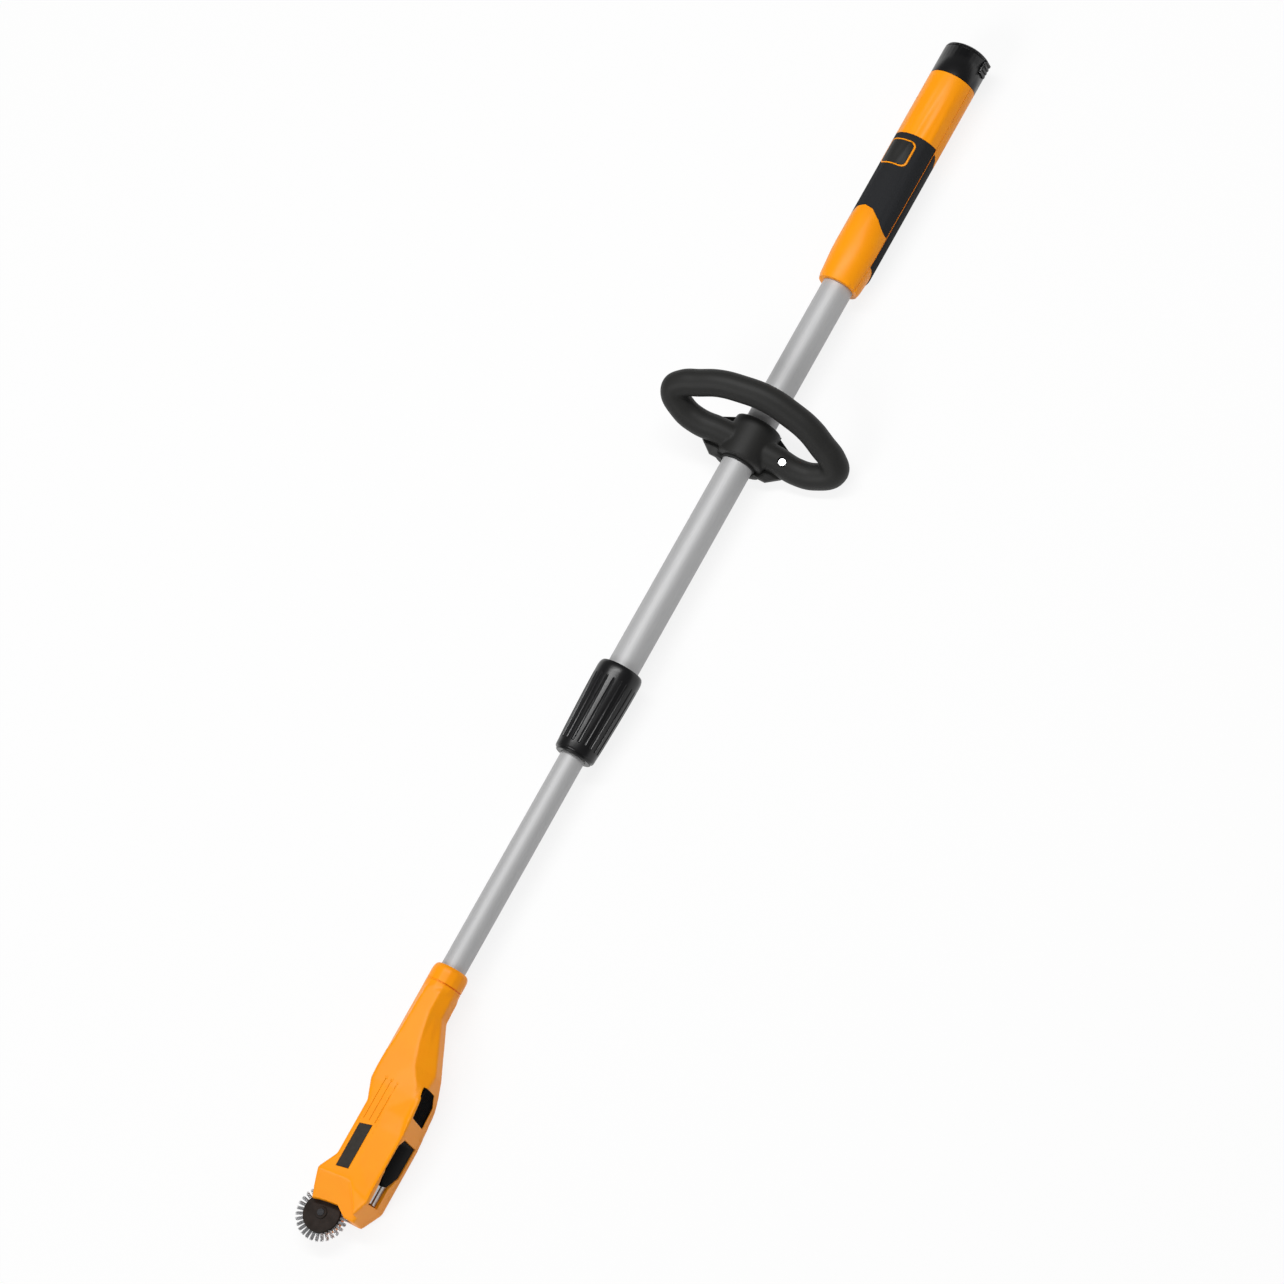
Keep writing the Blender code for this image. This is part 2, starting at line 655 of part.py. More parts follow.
def screw_part(name, at, length, head_r, head_h, shank_r, axis='Z', parent=None, look=DARK_STEEL):
    """Screw whose head starts at the point and whose shank follows."""
    body = turned(name, [(0, length), (shank_r, length), (shank_r, head_h), (head_r, head_h),
                         (head_r, 0), (0, 0)], at, axis, look, parent, 12)
    return body


for n, (sx, sy) in enumerate(SCREW_SPOTS):
    screw_part("head_screw_%d" % (n + 1), (sx, sy, -HEAD_HALF + 0.0004), 0.015, 0.0029, 0.0024,
               0.0014, 'Z', lower)
screw_part("socket_screw", (head_x(0.012), 0, -SOCKET_R + 0.0002), 0.0063, 0.0028, 0.0024, 0.0014,
           'Z', lower)
tube_hole = rod("socket_screw_tube_hole", 0.0018, 0.006, (head_x(0.012), 0, -0.0135), parent=lower,
                sides=14)
combine(lower_tube, tube_hole)

# Vent grille: slotted plate in the vent hole
grille = plate("vent_grille", [(head_x(u), z) for u, z in grow(VENT, -GAP)], -0.0392, 0.0014, 'Y',
               (BLACK, 0.5), lower, at=(head_x(0.116), -0.0392, 0.0025))
for k in range(7):
    u = 0.1045 + 0.0038 * k
    slot = box("vent_slot_%d" % (k + 1), (head_x(u) - 0.0009, -0.045, -0.0090),
               (head_x(u) + 0.0009, -0.030, 0.0110), parent=lower)
    combine(grille, slot)

plate("label_plate", [(head_x(u), y) for u, y in LABEL], HEAD_HALF - LABEL_T, LABEL_T - 0.0001, 'Z',
      ((0.042, 0.037, 0.030), 0.45), lower, at=(head_x(0.167), -0.0105, HEAD_HALF))

# Stored key: black grip and forked steel shank
KEY_OUT = POCKET_SIDE - 0.0006
KEY_IN = POCKET_SIDE - POCKET_DEPTH + GAP
key = pivot("key_slide", (head_x(0.175), -POCKET_SIDE, 0.004), parent=lower)


def key_local(outline):
    return [(head_x(u) - head_x(0.175), z - 0.004) for u, z in outline]


KEY_GRIP = [(0.1484, -0.0128), (0.1502, 0.0120), (0.1588, 0.0171), (0.1800, 0.0172),
            (0.1798, -0.0080), (0.1778, -0.0088)]
key_grip = plate("key_grip", key_local(KEY_GRIP), POCKET_SIDE - KEY_OUT, KEY_OUT - KEY_IN, 'Y',
                 (BLACK, 0.4), key)
KEY_FORK = [(0.1650, 0.0000), (0.1804, 0.0000), (0.1804, -0.0042), (0.2033, -0.0042),
            (0.2033, 0.0028), (0.1862, 0.0028), (0.1862, 0.0062), (0.2033, 0.0062),
            (0.2033, 0.0130), (0.1804, 0.0130), (0.1804, 0.0090), (0.1650, 0.0090)]
plate("key_fork", key_local(KEY_FORK), 0.0022, 0.0024, 'Y', STEEL_LOOK, key)
TANG = [(0.1650 - GAP, -GAP), (0.1850, -GAP), (0.1850, 0.0090 + GAP), (0.1650 - GAP, 0.0090 + GAP)]
tang_slot = plate("key_tang_slot", key_local(TANG), 0.0022 - GAP, 0.0024 + 2 * GAP, 'Y', None, key)
combine(key_grip, tang_slot)

# Motor and its shaft with the small pinion
MOTOR_FRONT = LAY_U - CROWN_PITCH_R - 0.0035
motor_x = head_x(MOTOR_FRONT)
ring("motor_can", MOTOR_R, MOTOR_R - 0.0012, MOTOR_L - 0.0060, (motor_x, MOTOR_Y, 0), 'X',
     ((0.35, 0.35, 0.36), 0.35, 0.9), lower, 28)
bell = turned("motor_end_bell", [(0, 0.0080), (0.0050, 0.0080), (0.0050, 0.0060), (MOTOR_R, 0.0060),
                                 (MOTOR_R, GAP), (MOTOR_R - 0.0016, GAP), (MOTOR_R - 0.0016, -0.0010),
                                 (0, -0.0010)],
              (motor_x + MOTOR_L - 0.0060, MOTOR_Y, 0), 'X', ((0.06, 0.06, 0.065), 0.5), lower, 28)
motor_shaft = gear("motor_shaft", 8, PINION_R, 0.0007, -0.0047, 0.0024, math.pi / 8,
                   (motor_x, MOTOR_Y, 0), 'X', STEEL_LOOK, lower)
armature = rod("motor_armature", 0.0110, MOTOR_L - 0.0140, (motor_x + 0.0030, MOTOR_Y, 0), 'X',
               parent=lower, sides=24)
shaft_rod = rod("motor_shaft_rod", 0.0012, 0.012, (motor_x - 0.0050, MOTOR_Y, 0), 'X',
                parent=lower, sides=12)
combine(motor_shaft, shaft_rod, 'UNION')
combine(motor_shaft, armature, 'UNION')

# Crown gear and lay pinion, one piece that turns on a fixed pin
CROWN_TEETH = 24
lay_gear = gear("lay_gear", LAY_TEETH, LAY_R, MODULE, 0.0, GEAR_TOP - GEAR_BOTTOM, 0.0,
                (*LAY, GEAR_BOTTOM), 'Z', ((0.75, 0.72, 0.62), 0.5), lower)
LAY_PHASE = math.atan2(IDLER[1] - LAY[1], IDLER[0] - LAY[0])
CROWN_TOP = -PINION_R - 0.0008
CROWN_LOW = CROWN_TOP - 0.0022
hub_rod = rod("lay_gear_hub", 0.0040, CROWN_TOP - GEAR_TOP + 0.001, (*LAY, GEAR_TOP - 0.0005),
              parent=lower, sides=12)
crown_disc = rod("crown_disc", 0.0098, CROWN_TOP - CROWN_LOW, (*LAY, CROWN_LOW), parent=lower,
                 sides=24)
combine(lay_gear, hub_rod, 'UNION')
combine(lay_gear, crown_disc, 'UNION')
crown = bmesh.new()
for k in range(CROWN_TEETH):
    a = math.tau * k / CROWN_TEETH
    made = bmesh.ops.create_cube(crown, size=1.0)
    tooth = made['verts']
    bmesh.ops.scale(crown, vec=(0.0022, 0.00078, 0.0018), verts=tooth)
    for v in tooth:
        if v.co.z > 0:
            v.co.y *= 0.55
    bmesh.ops.translate(crown, vec=(CROWN_PITCH_R, 0, 0.0006), verts=tooth)
    for v in tooth:
        x, y = v.co.x, v.co.y
        v.co.x = x * math.cos(a) - y * math.sin(a)
        v.co.y = x * math.sin(a) + y * math.cos(a)
crown_teeth = place("crown_teeth", mesh_of("crown_teeth", crown), None, (*LAY, CROWN_TOP),
                    (0, 0, 0), lower)
combine(lay_gear, crown_teeth, 'UNION')
lay_bore = rod("lay_bore", 0.0017, 0.040, (*LAY, -0.030), parent=lower, sides=12)
combine(lay_gear, lay_bore)
PIN_START = GEAR_BOTTOM - 0.0010 + GAP
rod("lay_pin", 0.0015, CROWN_TOP + 0.0002 - PIN_START, (*LAY, PIN_START), 'Z', STEEL_LOOK, lower, 12)

# Idler gear on its pin
idler_phase = math.atan2(LAY[1] - IDLER[1], LAY[0] - IDLER[0])
idler = gear("idler_gear", IDLER_TEETH, IDLER_R, MODULE, 0.0, GEAR_TOP - GEAR_BOTTOM, 0.0,
             (*IDLER, GEAR_BOTTOM), 'Z', ((0.75, 0.72, 0.62), 0.5), lower)
idler_bore = rod("idler_bore", 0.0017, 0.040, (*IDLER, -0.030), parent=lower, sides=12)
combine(idler, idler_bore)
rod("idler_pin", 0.0015, GEAR_TOP + 0.0006 - PIN_START, (*IDLER, PIN_START), 'Z', STEEL_LOOK, lower,
    12)


def set_phase(obj, angle):
    """Turns the mesh inside its object, so that the object itself stays unturned."""
    for v in obj.data.vertices:
        x, y = v.co.x, v.co.y
        v.co.x = x * math.cos(angle) - y * math.sin(angle)
        v.co.y = x * math.sin(angle) + y * math.cos(angle)


set_phase(lay_gear, LAY_PHASE)
IDLER_STEP = math.tau / IDLER_TEETH
set_phase(idler, idler_phase + IDLER_STEP / 2)
to_spindle = math.atan2(SPINDLE[1] - IDLER[1], SPINDLE[0] - IDLER[0])
offset = (to_spindle - idler_phase - IDLER_STEP / 2) / IDLER_STEP
fraction = offset - math.floor(offset)
SPINDLE_STEP = math.tau / SPINDLE_TEETH
spindle_phase = to_spindle + math.pi + (0.5 + fraction) * SPINDLE_STEP

# Spindle with its gear, bearings, brush hub, tufts and nut
spindle = gear("spindle", SPINDLE_TEETH, SPINDLE_GEAR_R, MODULE, GEAR_BOTTOM, GEAR_TOP - GEAR_BOTTOM,
               spindle_phase, (*SPINDLE, 0), 'Z', STEEL_LOOK, lower)
SPINDLE_R = 0.0030
NUT_LOW = HUB_TOP + GAP
spindle_rod = rod("spindle_rod", SPINDLE_R, NUT_LOW + 0.0016 + 0.0196, (*SPINDLE, -0.0196),
                  parent=lower, sides=14)
combine(spindle, spindle_rod, 'UNION')
spindle_collar = rod("spindle_collar", 0.0046, 0.0004, (*SPINDLE, HUB_BOTTOM - GAP - 0.0004),
                     parent=lower, sides=14)
combine(spindle, spindle_collar, 'UNION')
ring("spindle_bearing", 0.0048 - SLIDE_GAP, SPINDLE_R + SLIDE_GAP, 0.0024,
     (*SPINDLE, SLOT_BOTTOM - 0.0026), 'Z', STEEL_LOOK, lower, 16)

HUB_SPLIT = 0.0018
HUB_LOOK = ((0.045, 0.043, 0.042), 0.30)
HUB_BORE = SPINDLE_R + SLIDE_GAP
turned("brush_hub", [(HUB_R - 0.0010, HUB_TOP), (HUB_R, HUB_TOP - 0.0010),
                     (HUB_R, TUFT_Z + HUB_SPLIT), (0.0110, TUFT_Z + HUB_SPLIT),
                     (0.0110, TUFT_Z - HUB_SPLIT + GAP), (HUB_BORE, TUFT_Z - HUB_SPLIT + GAP),
                     (HUB_BORE, HUB_TOP)],
       (*SPINDLE, 0), 'Z', HUB_LOOK, lower, 32)
turned("brush_hub_plate", [(HUB_R, TUFT_Z - HUB_SPLIT), (HUB_R, HUB_BOTTOM + 0.0008),
                           (HUB_R - 0.0008, HUB_BOTTOM), (HUB_BORE, HUB_BOTTOM),
                           (HUB_BORE, TUFT_Z - HUB_SPLIT)],
       (*SPINDLE, 0), 'Z', HUB_LOOK, lower, 32)
nut = turned("brush_nut", [(0.0064, NUT_LOW + 0.0014), (0.0070, NUT_LOW + 0.0008), (0.0070, NUT_LOW),
                           (SPINDLE_R + 0.0002, NUT_LOW), (SPINDLE_R + 0.0002, NUT_LOW + 0.0014)],
             (*SPINDLE, 0), 'Z', ((0.10, 0.10, 0.10), 0.35, 0.6), lower, 24)
for n, side in enumerate((-1, 1)):
    hole = rod("nut_hole_%d" % (n + 1), 0.0007, 0.004, (X_WHEEL + side * 0.0050, WHEEL_Y, -0.0020),
               parent=lower, sides=8)
    combine(nut, hole)

# Wire tufts: thirty tufts of ten three-sided strands, fused to a ring of the hub
TUFT_RING_OUT = 0.0155
TUFT_RING_IN = 0.0113
RING_HALF = 0.0016
tufts = ring("brush_tufts", TUFT_RING_OUT, TUFT_RING_IN, 2 * RING_HALF, (*SPINDLE, TUFT_Z - RING_HALF),
             'Z', ((0.40, 0.40, 0.41), 0.35, 0.9), lower, TUFT_COUNT)
STRANDS = [(0.00042, 3), (0.00115, 7)]
wires = bmesh.new()
for k in range(TUFT_COUNT):
    a = math.tau * (k + 0.5) / TUFT_COUNT
    out = Vector((math.cos(a), math.sin(a), 0))
    side = Vector((-math.sin(a), math.cos(a), 0))
    up = Vector((0, 0, 1))
    for radius, count in STRANDS:
        for n in range(count):
            b = math.tau * (n + 0.25) / count
            spot = side * (radius * math.cos(b)) + up * (radius * math.sin(b))
            tip = BRUSH_TIP_R - 0.0009 * ((n * 5 + k * 3 + count) % 7) / 6
            rows = []
            for reach in (TUFT_RING_OUT - 0.0012, tip):
                corners = []
                for c in range(3):
                    t = math.tau * (c + 0.25) / 3
                    corners.append(wires.verts.new(
                        out * reach + spot + side * (STRAND_R * math.cos(t))
                        + up * (STRAND_R * math.sin(t))))
                rows.append(corners)
            wires.faces.new(rows[0])
            wires.faces.new(rows[1])
            for c in range(3):
                d = (c + 1) % 3
                wires.faces.new((rows[0][c], rows[0][d], rows[1][d], rows[1][c]))
strands = place("tuft_strands", mesh_of("tuft_strands", wires), None, (*SPINDLE, TUFT_Z), (0, 0, 0),
                lower)
combine(tufts, strands, 'UNION')

# Cable in the pole
rod("cable", 0.0030, X_SOCKET + 0.5300 - head_x(CAVITY_START + 0.010),
    (head_x(CAVITY_START + 0.010), 0, 0), 'X', (BLACK, 0.6), lower, 12)
ring("cable_coil", 0.0075, 0.0042, 0.040, (X_GRIP + 0.008, 0, 0), 'X', (BLACK, 0.6), tool, 16)

# Loop handle, turned a little round the pole
loop = pivot("loop_axis", (LOOP_X, 0, 0), (math.radians(LOOP_TURN), 0, 0), tool)
LINER_R = UPPER_TUBE_R + SLIDE_GAP
LINER_OUT = LINER_R + LINER_T
SADDLE_IN = LINER_OUT + SLIDE_GAP
SADDLE_OUT = SADDLE_IN + SADDLE_T

SADDLE_L = SADDLE_END - SADDLE_START
CLAMP_L = SADDLE_END - CLAMP_START
ring("loop_liner", LINER_OUT, LINER_R, CLAMP_L - 0.002, (CLAMP_START + 0.001, 0, 0), 'X',
     (BLACK, 0.8), loop, 32)

# Half of the handle's centre line, as shares of its half width and height
LOOP_SHAPE = [(0.0, 0.03), (0.35, 0.04), (0.61, 0.01), (0.83, 0.10), (1.0, 0.36), (0.935, 0.52),
              (0.76, 0.68), (0.56, 0.84), (0.31, 0.94), (0.0, 1.0)]
lean = math.radians(LOOP_LEAN)
left_half = []
for across, high in LOOP_SHAPE:
    height = LOOP_FOOT + (LOOP_TOP - LOOP_FOOT) * high
    left_half.append(Vector((height * math.sin(lean), across * LOOP_HALF_W,
                             height * math.cos(lean))))
right_half = [Vector((p.x, -p.y, p.z)) for p in reversed(left_half[1:-1])]
path = bpy.data.curves.new("loop_bar", 'CURVE')
path.dimensions = '3D'
spline = path.splines.new('BEZIER')
spots = left_half + right_half
spline.bezier_points.add(len(spots) - 1)
for point, spot in zip(spline.bezier_points, spots):
    point.co = spot
    point.handle_left_type = 'AUTO'
    point.handle_right_type = 'AUTO'
spline.use_cyclic_u = True
spline.resolution_u = 2
path.bevel_depth = LOOP_BAR_R
path.bevel_resolution = 3
bar_curve = bpy.data.objects.new("loop_bar", path)
parts.objects.link(bar_curve)
bpy.context.view_layer.update()
graph = bpy.context.evaluated_depsgraph_get()
bar_mesh = bpy.data.meshes.new_from_object(bar_curve.evaluated_get(graph))
bpy.data.objects.remove(bar_curve)
bar = bmesh.new()
bar.from_mesh(bar_mesh)
bmesh.ops.remove_doubles(bar, verts=bar.verts, dist=0.00001)
handle = place("loop_handle", mesh_of("loop_handle", bar), (SOFT_BLACK, 0.6), (0, 0, 0), (0, 0, 0),
               loop)
saddle = rod("loop_saddle", SADDLE_OUT, SADDLE_L, (SADDLE_START, 0, 0), 'X', parent=loop, sides=40)
combine(handle, saddle, 'UNION')
BOLT_X = 0.0018
BOLT_Y = 0.0340
BOLT_ROOM = 0.0042
FLANGE_TOP = 0.0125
FLANGE_LOW = -0.0070
FLANGE_HALF = 0.0385
WEB_START = -0.0050
WEB_END = 0.0140
SPLIT_LOW = -0.0005
for n, side in enumerate((-1, 1)):
    boss = rod("loop_boss_%d" % (n + 1), 0.0068, FLANGE_TOP + 0.006, (BOLT_X, side * BOLT_Y, -0.006),
               parent=loop, sides=24)
    web = box("loop_web_%d" % (n + 1), (WEB_START, min(side * 0.012, side * BOLT_Y), -0.004),
              (WEB_END, max(side * 0.012, side * BOLT_Y), 0.0060), parent=loop)
    combine(handle, web, 'UNION')
    combine(handle, boss, 'UNION')
handle_bore = rod("loop_bore", SADDLE_IN, 0.120, (SADDLE_START - 0.040, 0, 0), 'X', parent=loop,
                  sides=40)
under_cut = box("loop_under_cut", (CLAMP_START - 0.004, -FLANGE_HALF - 0.0010, -0.060),
                (SADDLE_END + 0.004, FLANGE_HALF + 0.0010, SPLIT_LOW), parent=loop)
cut(handle, handle_bore, under_cut)

lower_clamp = rod("loop_clamp", SADDLE_OUT, CLAMP_L, (CLAMP_START, 0, 0), 'X', (SOFT_BLACK, 0.6),
                  loop, 40)
# Clamp flange with slanted corners
FLANGE = [(CLAMP_START, -0.0270), (CLAMP_START + 0.0090, -FLANGE_HALF), (0.0150, -FLANGE_HALF),
          (SADDLE_END - 0.0010, -0.0200), (SADDLE_END - 0.0010, 0.0200), (0.0150, FLANGE_HALF),
          (CLAMP_START + 0.0090, FLANGE_HALF), (CLAMP_START, 0.0270)]
flange = plate("clamp_flange", FLANGE, FLANGE_LOW, 0.0030 - FLANGE_LOW, 'Z', None, loop)
combine(lower_clamp, flange, 'UNION')
clamp_bore = rod("clamp_bore", SADDLE_IN, 0.120, (CLAMP_START - 0.020, 0, 0), 'X', parent=loop,
                 sides=40)
clamp_top = box("clamp_top_cut", (-0.100, -0.060, -0.0012), (0.100, 0.060, 0.060), parent=loop)
cut(lower_clamp, clamp_bore, clamp_top)
# Bolt on the right from above with its nut below; on the left from below into a captive nut
bolt_hole = rod("loop_bolt_hole_right", 0.0021, 0.060, (BOLT_X, -BOLT_Y, -0.030), parent=loop, sides=16)
bolt_seat = rod("loop_bolt_seat_right", BOLT_ROOM, 0.030, (BOLT_X, -BOLT_Y, FLANGE_TOP), parent=loop,
                sides=16)
cut(handle, bolt_hole, bolt_seat)
combine(lower_clamp, bolt_hole)
bolt = screw_part("loop_bolt_right", (BOLT_X, -BOLT_Y, FLANGE_TOP + 0.0002 + 0.0026), 0.0255, 0.0033,
                  0.0026, 0.0018, 'Z', loop, STEEL_LOOK)
bolt.rotation_euler = (math.pi, 0, 0)
ring("loop_nut_right", 0.0038, 0.0022, 0.0028, (BOLT_X, -BOLT_Y, FLANGE_LOW - 0.0030), 'Z', STEEL_LOOK,
     loop, 6)
blind_hole = rod("loop_bolt_hole_left", 0.0021, 0.0390, (BOLT_X, BOLT_Y, -0.030), parent=loop, sides=16)
nut_room = rod("loop_nut_room", BOLT_ROOM, 0.0052, (BOLT_X, BOLT_Y, -0.0020), parent=loop, sides=16)
cut(handle, blind_hole, nut_room)
combine(lower_clamp, blind_hole)
screw_part("loop_bolt_left", (BOLT_X, BOLT_Y, FLANGE_LOW - 0.0002 - 0.0026), 0.0175, 0.0033, 0.0026,
           0.0018, 'Z', loop, STEEL_LOOK)
ring("loop_nut_left", 0.0038, 0.0022, 0.0028, (BOLT_X, BOLT_Y, SPLIT_LOW + 0.0003), 'Z', STEEL_LOOK,
     loop, 6)

# Grip: two shells split beside the button line
grip = pivot("grip_axis", (X_GRIP, 0, 0), (-math.radians(GRIP_TURN), 0, 0), tool)
TAPER = 0.033
TUBE_SEAT = UPPER_TUBE_R + SLIDE_GAP
GRIP_BORE = GRIP_R - GRIP_WALL
SEAT_L = TUBE_IN_GRIP + 0.001
grip_profile = [(GRIP_R, SHELL_L), (GRIP_R, TAPER + 0.004), (GRIP_R - 0.0003, TAPER - 0.006),
                (GRIP_START_R + 0.0010, 0.004), (GRIP_START_R, 0.0),
                (TUBE_SEAT, 0.0), (TUBE_SEAT, SEAT_L), (GRIP_BORE, SEAT_L + 0.004),
                (GRIP_BORE, SHELL_L)]

PAD_END = SHELL_L - 0.0660
CASE_END = 0.0140
CASE_START = CASE_END - CELL_L - 0.0020
TERMINAL_X = SHELL_L + CASE_START - 0.0100
UNDER_END = TERMINAL_X - 0.0030
TOP_PAD = [(0.0530, -0.0230), (0.0640, -0.0160), (0.0710, -0.0085), (0.0730, 0.0), (0.0710, 0.0085),
           (0.0640, 0.0160), (0.0530, 0.0230), (PAD_END, 0.0230), (PAD_END, -0.0230)]
UNDER_PAD = [(0.0280, -0.0230), (0.0200, -0.0170), (0.0150, -0.0090), (0.0140, 0.0),
             (0.0150, 0.0090), (0.0200, 0.0170), (0.0280, 0.0230), (UNDER_END, 0.0230),
             (UNDER_END - 0.0110, 0.0190), (UNDER_END - 0.0140, 0.0), (UNDER_END - 0.0110, -0.0190),
             (UNDER_END, -0.0230)]
SEAM = 0.00015
PAD_SEAM = 0.0006
button_mid = SHELL_L - BUTTON_FROM_END
HOLE_L = BUTTON_L + 0.0034
HOLE_W = BUTTON_W + 0.0034
HOLE_CORNER = 0.0050


def half_box(name, top, gap):
    if top:
        return box(name, (-0.010, -0.040, gap), (SHELL_L + 0.010, 0.040, 0.040), parent=grip)
    return box(name, (-0.010, -0.040, -0.040), (SHELL_L + 0.010, 0.040, -gap), parent=grip)


def pad_sleeve(name, outer, inner, look=None):
    return ring(name, outer, inner, SHELL_L, (0, 0, 0), 'X', look, grip, 36)


def upright_bevel(name, length, width, low, high, corner, look=None, at_z=0.0):
    """Block with rounded upright edges."""
    points = []
    for cx, cy, start in ((1, 1, 0), (-1, 1, 90), (-1, -1, 180), (1, -1, 270)):
        for step in range(4):
            a = math.radians(start + 30 * step)
            points.append((button_mid + cx * (length / 2 - corner) + corner * math.cos(a),
                           cy * (width / 2 - corner) + corner * math.sin(a)))
    return plate(name, points, low, high - low, 'Z', look, grip, at=(button_mid, 0, at_z))


for tag, outline, top in (("top", TOP_PAD, True), ("under", UNDER_PAD, False)):
    shell = turned("grip_shell_" + tag, grip_profile, (0, 0, 0), 'X', ORANGE_LOOK, grip, 36)
    keep = half_box("grip_keep_" + tag, top, SEAM)
    combine(shell, keep, 'INTERSECT')
    start = 0.0 if top else -0.030
    recess = pad_sleeve("pad_recess_" + tag, GRIP_R + 0.0030, GRIP_R - PAD_T - SLIDE_GAP)
    window = plate("pad_window_" + tag, grow(outline, SLIDE_GAP), start - 0.0005, 0.0310, 'Z', None,
                   grip)
    combine(recess, window, 'INTERSECT')
    combine(recess, half_box("recess_keep_" + tag, top, PAD_SEAM - SLIDE_GAP), 'INTERSECT')
    combine(shell, recess)
    pad = pad_sleeve("grip_pad_" + tag, GRIP_R - 0.00005, GRIP_R - PAD_T, (SOFT_BLACK, 0.75))
    slab = plate("pad_slab_" + tag, outline, start, 0.030, 'Z', None, grip)
    combine(pad, slab, 'INTERSECT')
    combine(pad, half_box("pad_keep_" + tag, top, PAD_SEAM), 'INTERSECT')
    if top:
        opening = upright_bevel("button_opening", HOLE_L, HOLE_W, 0.0100, 0.0300, HOLE_CORNER)
        combine(shell, opening)
        combine(pad, opening)


surround = upright_bevel("button_surround", HOLE_L - 2 * GAP, HOLE_W - 2 * GAP, 0.0135, 0.0260,
                         HOLE_CORNER - GAP, ORANGE_LOOK, GRIP_R)
surround_round = rod("surround_round", GRIP_R + 0.0001, SHELL_L, (0, 0, 0), 'X', parent=grip, sides=36)
combine(surround, surround_round, 'INTERSECT')
button_hole = upright_bevel("button_hole", BUTTON_L + 2 * GAP, BUTTON_W + 2 * GAP, 0.0050, 0.0300,
                            0.0042)
combine(surround, button_hole)
button = upright_bevel("power_button", BUTTON_L, BUTTON_W, 0.0152, 0.0260, 0.0040, (BLACK, 0.35),
                       GRIP_R)
button_round = rod("button_round", GRIP_R + 0.0002, SHELL_L, (0, 0, 0), 'X', parent=grip, sides=36)
combine(button, button_round, 'INTERSECT')
SWITCH_TOP = 0.0152 - BUTTON_PRESS - 0.0002
switch = box("power_switch", (button_mid - 0.0065, -0.0060, -0.0020),
             (button_mid + 0.0065, 0.0060, SWITCH_TOP), ((0.04, 0.04, 0.045), 0.5), grip)
FOOT_LOW = -GRIP_BORE + 0.0008
switch_foot = box("switch_foot", (button_mid - 0.0040, -0.0040, FOOT_LOW),
                  (button_mid + 0.0040, 0.0040, 0.0), parent=grip)
combine(switch, switch_foot, 'UNION')

# Battery stick: cap, case and two cells
battery = pivot("battery_axis", (X_CAP, 0, 0), (-math.radians(GRIP_TURN), 0, 0), tool)
CASE_BORE = BATTERY_R - BATTERY_WALL
cap_profile = [(0, CAP_L), (GRIP_R - 0.0042, CAP_L), (GRIP_R - 0.0010, CAP_L - 0.0018),
               (GRIP_R, CAP_L - 0.0046), (GRIP_R, GAP),
               (BATTERY_R + SLIDE_GAP, GAP), (BATTERY_R + SLIDE_GAP, CAP_L - 0.0022),
               (0, CAP_L - 0.0022)]
cap = turned("battery_cap", cap_profile, (0, 0, 0), 'X', (BLACK, 0.25), battery, 36)
case = turned("battery_case", [(0, CASE_START + 0.0012), (CASE_BORE, CASE_START + 0.0012),
                               (CASE_BORE, CASE_END), (BATTERY_R, CASE_END),
                               (BATTERY_R, CASE_START), (0, CASE_START)],
              (0, 0, 0), 'X', ((0.03, 0.03, 0.03), 0.45), battery, 28)
for n, side in enumerate((-1, 1)):
    rod("battery_cell_%d" % (n + 1), CELL_R, CELL_L, (CASE_START + 0.0016, side * (CELL_R + 0.00008), 0),
        'X', ((0.10, 0.22, 0.35), 0.35), battery, 20)
TAB_ANGLE = 100.0
for n, side in enumerate((-1, 1)):
    tag = ("right", "left")[n]
    turn = math.radians(TAB_ANGLE) * side
    tab_axis = pivot("latch_axis_" + tag, (CASE_END + 0.0010, 0, 0), (-turn, 0, 0), battery)
    tab = box("latch_tab_" + tag, (0.0006, -0.0050, GRIP_R - 0.0026), (0.0140, 0.0050, GRIP_R + 0.0012),
              (BLACK, 0.4), tab_axis, origin=(0.0073, 0, GRIP_R))
    slot = box("latch_slot_" + tag, (0.0003, -0.0053, 0.0120), (0.0143, 0.0053, 0.0300),
               parent=tab_axis)
    combine(cap, slot)
    for k in range(3):
        ridge = box("latch_groove_%s_%d" % (tag, k + 1), (0.0030 + 0.0036 * k, -0.0060, GRIP_R + 0.0004),
                    (0.0046 + 0.0036 * k, 0.0060, GRIP_R + 0.0040), parent=tab_axis)
        combine(tab, ridge)
TERMINAL_L = 0.0080
terminals = box("terminal_block", (TERMINAL_X, -0.0110, -0.0060),
                (TERMINAL_X + TERMINAL_L, 0.0110, 0.0060), ((0.05, 0.05, 0.05), 0.5), grip)
terminal_foot = box("terminal_foot", (TERMINAL_X + 0.0010, -0.0040, FOOT_LOW),
                    (TERMINAL_X + TERMINAL_L - 0.0010, 0.0040, 0.0), parent=grip)
combine(terminals, terminal_foot, 'UNION')

